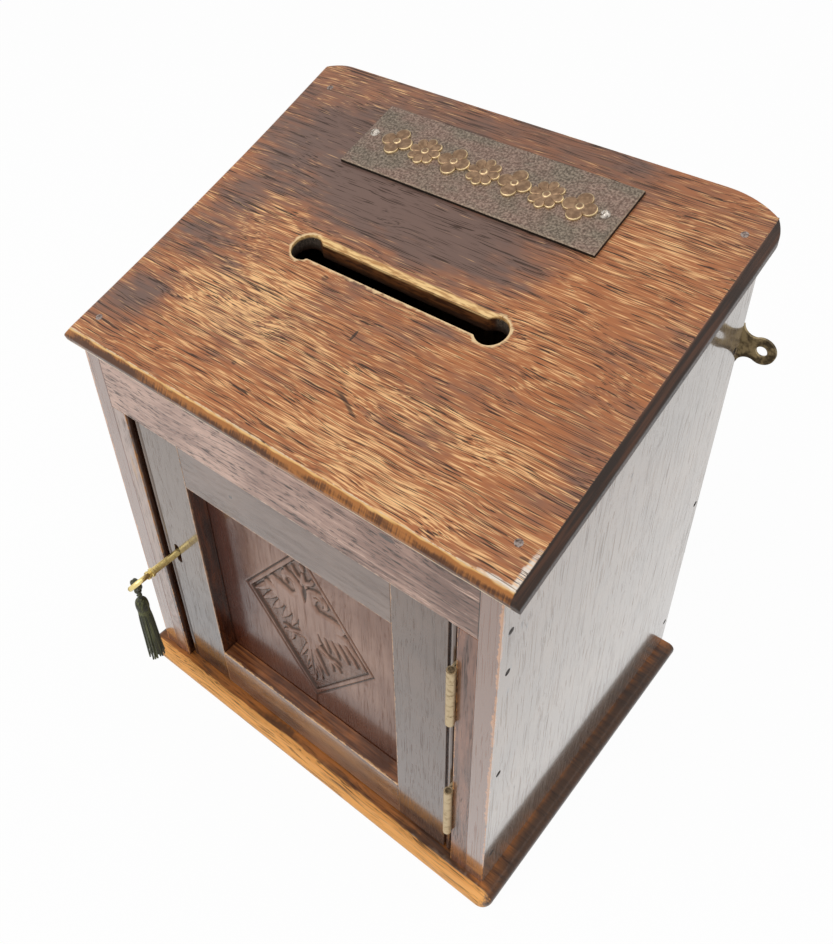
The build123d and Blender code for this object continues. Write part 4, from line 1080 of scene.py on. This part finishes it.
# ------------------------------------------------------------------ metalwork
# nodes, name, tone, dirt, roughness, and how fine, how much and how deep the dirt is
METALS = (
    (("upper_hinge_jamb_leaf", "upper_hinge_door_leaf", "lower_hinge_jamb_leaf",
      "lower_hinge_door_leaf"),
     "hinge_brass", (0.58, 0.46, 0.29), (0.40, 0.30, 0.18), 0.42, 3.0, 0.3, 0.1),
    (("key",), "key_brass", (0.86, 0.70, 0.30), (0.45, 0.34, 0.12), 0.26, 4.0, 0.3),
    (("left_mirror_plate", "right_mirror_plate"),
     "plate_brass", (0.34, 0.26, 0.14), (0.10, 0.075, 0.045), 0.42, 5.0, 0.6),
    (("lock_cap", "lock_bolt", "bolt_spring"),
     "lock_brass", (0.55, 0.42, 0.22), (0.22, 0.16, 0.08), 0.35, 6.0, 0.4),
    (("upper_hinge_pin", "lower_hinge_pin"),
     "pin_ends", (0.30, 0.23, 0.14), (0.12, 0.09, 0.055), 0.45, 1.5, 0.5),
    (("side_nails", "back_nails", "base_nails", "jamb_leaf_screws", "door_leaf_screws",
      "lock_screws", "lock_case", "mirror_plate_screws"),
     "old_iron", (0.07, 0.06, 0.055), (0.03, 0.022, 0.018), 0.5, 2.0, 0.5),
    (("lid_nails",), "nail_heads", (0.34, 0.28, 0.25), (0.15, 0.11, 0.095), 0.65, 1.2, 0.5),
    (("name_plate_screws",),
     "screw_steel", (0.55, 0.50, 0.44), (0.15, 0.12, 0.10), 0.3, 1.5, 0.4),
)


class LETTERBOX_OT_metalwork(bpy.types.Operator):
    """Finish the hinges, plates, nails, screws, lock and key"""

    bl_idname = "letterbox.metalwork"
    bl_label = "Metalwork"

    def execute(self, context):
        for nodes, *look in METALS:
            material = metal(*look)
            for node in nodes:
                dress(node, material)
        return {"FINISHED"}


# ------------------------------------------------------------------ tassel
CORD_RADIUS = 0.9
KNOT_RADIUS = 2.0
GOLDEN_ANGLE = 2.39996


def tassel_top():
    """Centre line and levels of the tassel, in millimetres."""
    head_low, head_high = (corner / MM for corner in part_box("tassel_head"))
    skirt_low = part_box("tassel_skirt")[0] / MM
    centre = (head_low + head_high) / 2
    return centre.x, centre.y, head_high.z, head_low.z, skirt_low.z


class LETTERBOX_OT_tassel(bpy.types.Operator):
    """Tie the cord round the key's bow and hang the tassel from it"""

    bl_idname = "letterbox.tassel"
    bl_label = "Tassel"

    def execute(self, context):
        settings = context.scene.box_tassel
        silk = silk_yarn("tassel_silk", tuple(settings.silk))
        x, y, top, waist, bottom = tassel_top()
        loop_low, loop_high = (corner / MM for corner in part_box("tassel_loop"))
        ring = (loop_high.x - loop_low.x) / 2 - CORD_RADIUS
        hang = loop_high.z - ring - CORD_RADIUS
        parts = [
            add("torus", "cord_turn", location=(x * MM, (y + shift) * MM, hang * MM),
                rotation=(math.pi / 2, 0, 0), major_radius=ring * MM, minor_radius=0.88 * MM,
                major_segments=40, minor_segments=12)
            for shift in (-0.75, 0.75)
        ]
        knot = loop_low.z + KNOT_RADIUS
        parts += [
            add("torus", "knot_turn", location=(x * MM, y * MM, knot * MM),
                rotation=(math.radians(28), math.radians(20), turn * math.pi / 4 + 0.3),
                major_radius=1.35 * MM, minor_radius=0.66 * MM, major_segments=28,
                minor_segments=10)
            for turn in range(4)
        ]
        finished(joined("tassel_cord", parts), 60, silk, "loop", "tassel_loop")

        # neck: two strands laid together
        parts = []
        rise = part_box("tassel_neck")[1].z / MM - 0.6 - top + 1.4
        for side in (-1, 1):
            strand = settle(add(
                "circle", "neck_strand", vertices=10, radius=0.78 * MM,
                location=(side * 0.72 * MM, 0, 0), rotation=(math.pi / 2, 0, 0),
            ))
            apply_modifier(strand, "SCREW", angle=math.radians(560), screw_offset=rise * MM,
                           steps=44, render_steps=44, use_merge_vertices=True)
            parts.append(strand)
        neck = joined("tassel_neck_cord", parts,
                      Matrix.Translation((x * MM, y * MM, (top - 1.2) * MM)))
        bpy.ops.object.mode_set(mode="EDIT")
        bpy.ops.mesh.select_all(action="SELECT")
        bpy.ops.mesh.fill_holes(sides=12)
        bpy.ops.mesh.normals_make_consistent(inside=False)
        bpy.ops.object.mode_set(mode="OBJECT")
        finished(neck, 60, silk, "tassel", "tassel_neck")

        # strands: gathered at the top, bound at the waist, and hanging free
        chance = random.Random(7)
        bpy.ops.object.select_all(action="DESELECT")
        bpy.ops.curve.primitive_nurbs_path_add()
        yarn = new_piece("tassel_strands")
        yarn.data.splines.clear()
        height = top - waist
        for index in range(settings.strands):
            layer = (index >= settings.strands * 0.5) + (index >= settings.strands * 0.84)
            share = (1.0, 0.72, 0.38)[layer] * chance.uniform(0.96, 1.0)
            angle = index * (GOLDEN_ANGLE if layer else 2 * math.pi / (settings.strands * 0.5))
            clump = round(angle / 1.05) * 1.05 - angle
            end = bottom + 0.5 + abs(chance.gauss(0.0, 2.4))
            spread = chance.uniform(-0.15, 0.15) + 0.35 * clump
            profile = [
                (0.4, top + 0.1), (1.9, top - 0.1), (2.9, top - 1.4), (3.2, top - 3.6),
                (3.2, top - height * 0.6), (2.5, top - height * 0.78), (3.0, waist + 0.4),
                (3.4, waist - 4), (3.6, waist - 12), (3.8, waist - 22),
                (4.0, end + (waist - end) * 0.12), (4.15 + chance.uniform(-0.3, 0.3), end),
            ]
            spline = yarn.data.splines.new("NURBS")
            spline.points.add(len(profile) - 1)
            for step, (point, (radius, level)) in enumerate(zip(spline.points, profile)):
                t = step / (len(profile) - 1)
                turn = angle + spread * t ** 3
                reach = radius * (1 - (1 - share) * min(1, t * 3))
                point.co = ((x + reach * math.cos(turn)) * MM, (y + reach * math.sin(turn)) * MM,
                            level * MM, 1)
            spline.order_u = 3
            spline.use_endpoint_u = True
            spline.resolution_u = 2
        yarn.data.dimensions = "3D"
        yarn.data.bevel_depth = settings.yarn * MM
        yarn.data.bevel_resolution = 1
        yarn.data.use_fill_caps = True
        pick(yarn)
        bpy.ops.object.convert(target="MESH")
        yarn = new_piece("tassel_strands")
        strands = Finish("strand_silk", 0.55, Sheen_Weight=0.12, Sheen_Roughness=0.4)
        place = strands.place()
        streak = strands.noise(strands.scaled(place, 0.8, 0.8, 20), 1.0, 0.5)
        lay = strands.cells(place, 0.9, 0.9, 0.5)
        tone = tuple(settings.silk)
        colour = strands.ramp(streak, (0.34, [0.4 * c for c in tone]), (0.5, tone),
                              (0.66, [3.2 * c for c in tone]))
        lighter = strands.spread(lay, 0.0, 0.15, 0.0, 0.5)
        strands.colour(strands.blend(lighter, colour, [3.0 * c for c in tone]))
        strands.bump(strands.noise(strands.scaled(place, 0.25, 0.25, 1.2), 2.0), 0.5, 0.15)
        finished(yarn, 80, strands.material, "tassel", "tassel_head", "tassel_skirt")

        parts = [
            add("torus", "binding_turn",
                location=(x * MM, y * MM, (top - height * 0.72 - coil * 0.62) * MM),
                major_radius=2.95 * MM, minor_radius=0.36 * MM, major_segments=40,
                minor_segments=8)
            for coil in range(5)
        ]
        binding = silk_yarn("binding_silk", [2.6 * c for c in settings.silk])
        finished(joined("tassel_binding", parts), 60, binding, "tassel")
        return {"FINISHED"}


# ------------------------------------------------------------------ stage
SENSOR = 36
PICTURE_HEIGHT = 944
FOCAL_PIXELS = 978.87
MIDDLE_ROW = 417.894            # the row that the camera's axis meets


class LETTERBOX_OT_stage(bpy.types.Operator):
    """Lay the floor, light the room and stand the camera"""

    bl_idname = "letterbox.stage"
    bl_label = "Stage"

    def seen(self, tree):
        """One where the camera, a reflection or a view through glass meets the surface."""
        rays = tree_node(tree, "ShaderNodeLightPath")
        share = rays.outputs["Is Camera Ray"]
        for ray in ("Is Glossy Ray", "Is Transmission Ray"):
            either = tree_node(tree, "ShaderNodeMath", operation="MAXIMUM")
            tree.links.new(share, either.inputs[0])
            tree.links.new(rays.outputs[ray], either.inputs[1])
            share = either.outputs[0]
        return share

    def mixed(self, tree, share, unseen, shown, output):
        """Show one shader to the camera and let another light the room."""
        mix = tree_node(tree, "ShaderNodeMixShader")
        for source, socket in zip((share, unseen.outputs[0], shown.outputs[0]), mix.inputs):
            tree.links.new(source, socket)
        tree.links.new(mix.outputs[0], tree_node(tree, output).inputs[0])

    def execute(self, context):
        settings = context.scene.box_stage
        scene = context.scene
        scene.view_settings.view_transform = "Standard"
        floor = add("plane", "floor", size=12)
        paper = bpy.data.materials.new("floor_paper")
        paper.use_nodes = True
        tree = paper.node_tree
        tree.nodes.clear()
        matt = tree_node(tree, "ShaderNodeBsdfDiffuse")
        matt.inputs[0].default_value = (0.86, 0.86, 0.86, 1)
        white = tree_node(tree, "ShaderNodeEmission")
        white.inputs[0].default_value = (1, 1, 1, 1)
        share = tree_node(tree, "ShaderNodeMath", operation="MULTIPLY")
        share.inputs[1].default_value = 0.965
        tree.links.new(self.seen(tree), share.inputs[0])
        self.mixed(tree, share.outputs[0], matt, white, "ShaderNodeOutputMaterial")
        give(floor, paper)

        world = bpy.data.worlds.new("room")
        scene.world = world
        world.use_nodes = True
        tree = world.node_tree
        tree.nodes.clear()
        light, bright = (tree_node(tree, "ShaderNodeBackground") for _ in range(2))
        light.inputs[1].default_value = settings.room
        for shade in (light, bright):
            shade.inputs[0].default_value = (1, 1, 1, 1)
        self.mixed(tree, self.seen(tree), light, bright, "ShaderNodeOutputWorld")

        for name, place, size, power in (
            ("window", (-0.35, -0.9, 1.35), 1.1, settings.lamp),
            ("ceiling", (0.5, 0.5, 1.7), 1.2, settings.lamp * 0.55),
        ):
            bpy.ops.object.light_add(type="AREA", location=place)
            lamp = bpy.context.object
            lamp.name = name
            lamp.data.size = size
            lamp.data.energy = power
            aim = Vector((0, 0, 0.15)) - Vector(place)
            lamp.rotation_euler = aim.to_track_quat("-Z", "Y").to_euler()

        bpy.ops.object.camera_add(
            location=(0.228335, -0.275295, 0.501244),
            rotation=[math.radians(a) for a in (48.68211, 0.47878, 38.82086)],
        )
        camera = bpy.context.object
        camera.data.sensor_width = SENSOR
        camera.data.lens = FOCAL_PIXELS * SENSOR / PICTURE_HEIGHT
        camera.data.shift_y = (MIDDLE_ROW - PICTURE_HEIGHT / 2) / PICTURE_HEIGHT
        camera.data.clip_start = 0.01
        scene.camera = camera
        return {"FINISHED"}


class LETTERBOX_PT_panel(bpy.types.Panel):
    """Buttons and settings of the letter box"""

    bl_idname = "LETTERBOX_PT_panel"
    bl_label = "Letter Box"
    bl_space_type = "VIEW_3D"
    bl_region_type = "UI"
    bl_category = "Letter Box"

    def draw(self, context):
        for operator in OPERATORS:
            self.layout.operator(operator.bl_idname)
        for group in SETTINGS:
            values = getattr(context.scene, group)
            box = self.layout.box()
            for key in values.__annotations__:
                box.prop(values, key)


SETTINGS = {
    "box_oak": BoxOakSettings,
    "box_carving": BoxCarvingSettings,
    "box_tassel": BoxTasselSettings,
    "box_stage": BoxStageSettings,
}
OPERATORS = (
    LETTERBOX_OT_case, LETTERBOX_OT_lid, LETTERBOX_OT_door, LETTERBOX_OT_panel,
    LETTERBOX_OT_name_plate, LETTERBOX_OT_metalwork, LETTERBOX_OT_tassel, LETTERBOX_OT_stage,
)


def register():
    for kind in (*SETTINGS.values(), *OPERATORS, LETTERBOX_PT_panel):
        bpy.utils.register_class(kind)
    for name, kind in SETTINGS.items():
        setattr(bpy.types.Scene, name, bpy.props.PointerProperty(type=kind))


def unregister():
    for name in SETTINGS:
        delattr(bpy.types.Scene, name)
    for kind in (LETTERBOX_PT_panel, *reversed(OPERATORS), *reversed(list(SETTINGS.values()))):
        bpy.utils.unregister_class(kind)


def main():
    register()
    for operator in OPERATORS:
        getattr(bpy.ops.letterbox, operator.bl_idname.split(".")[1])()


if __name__ == "__main__":
    main()
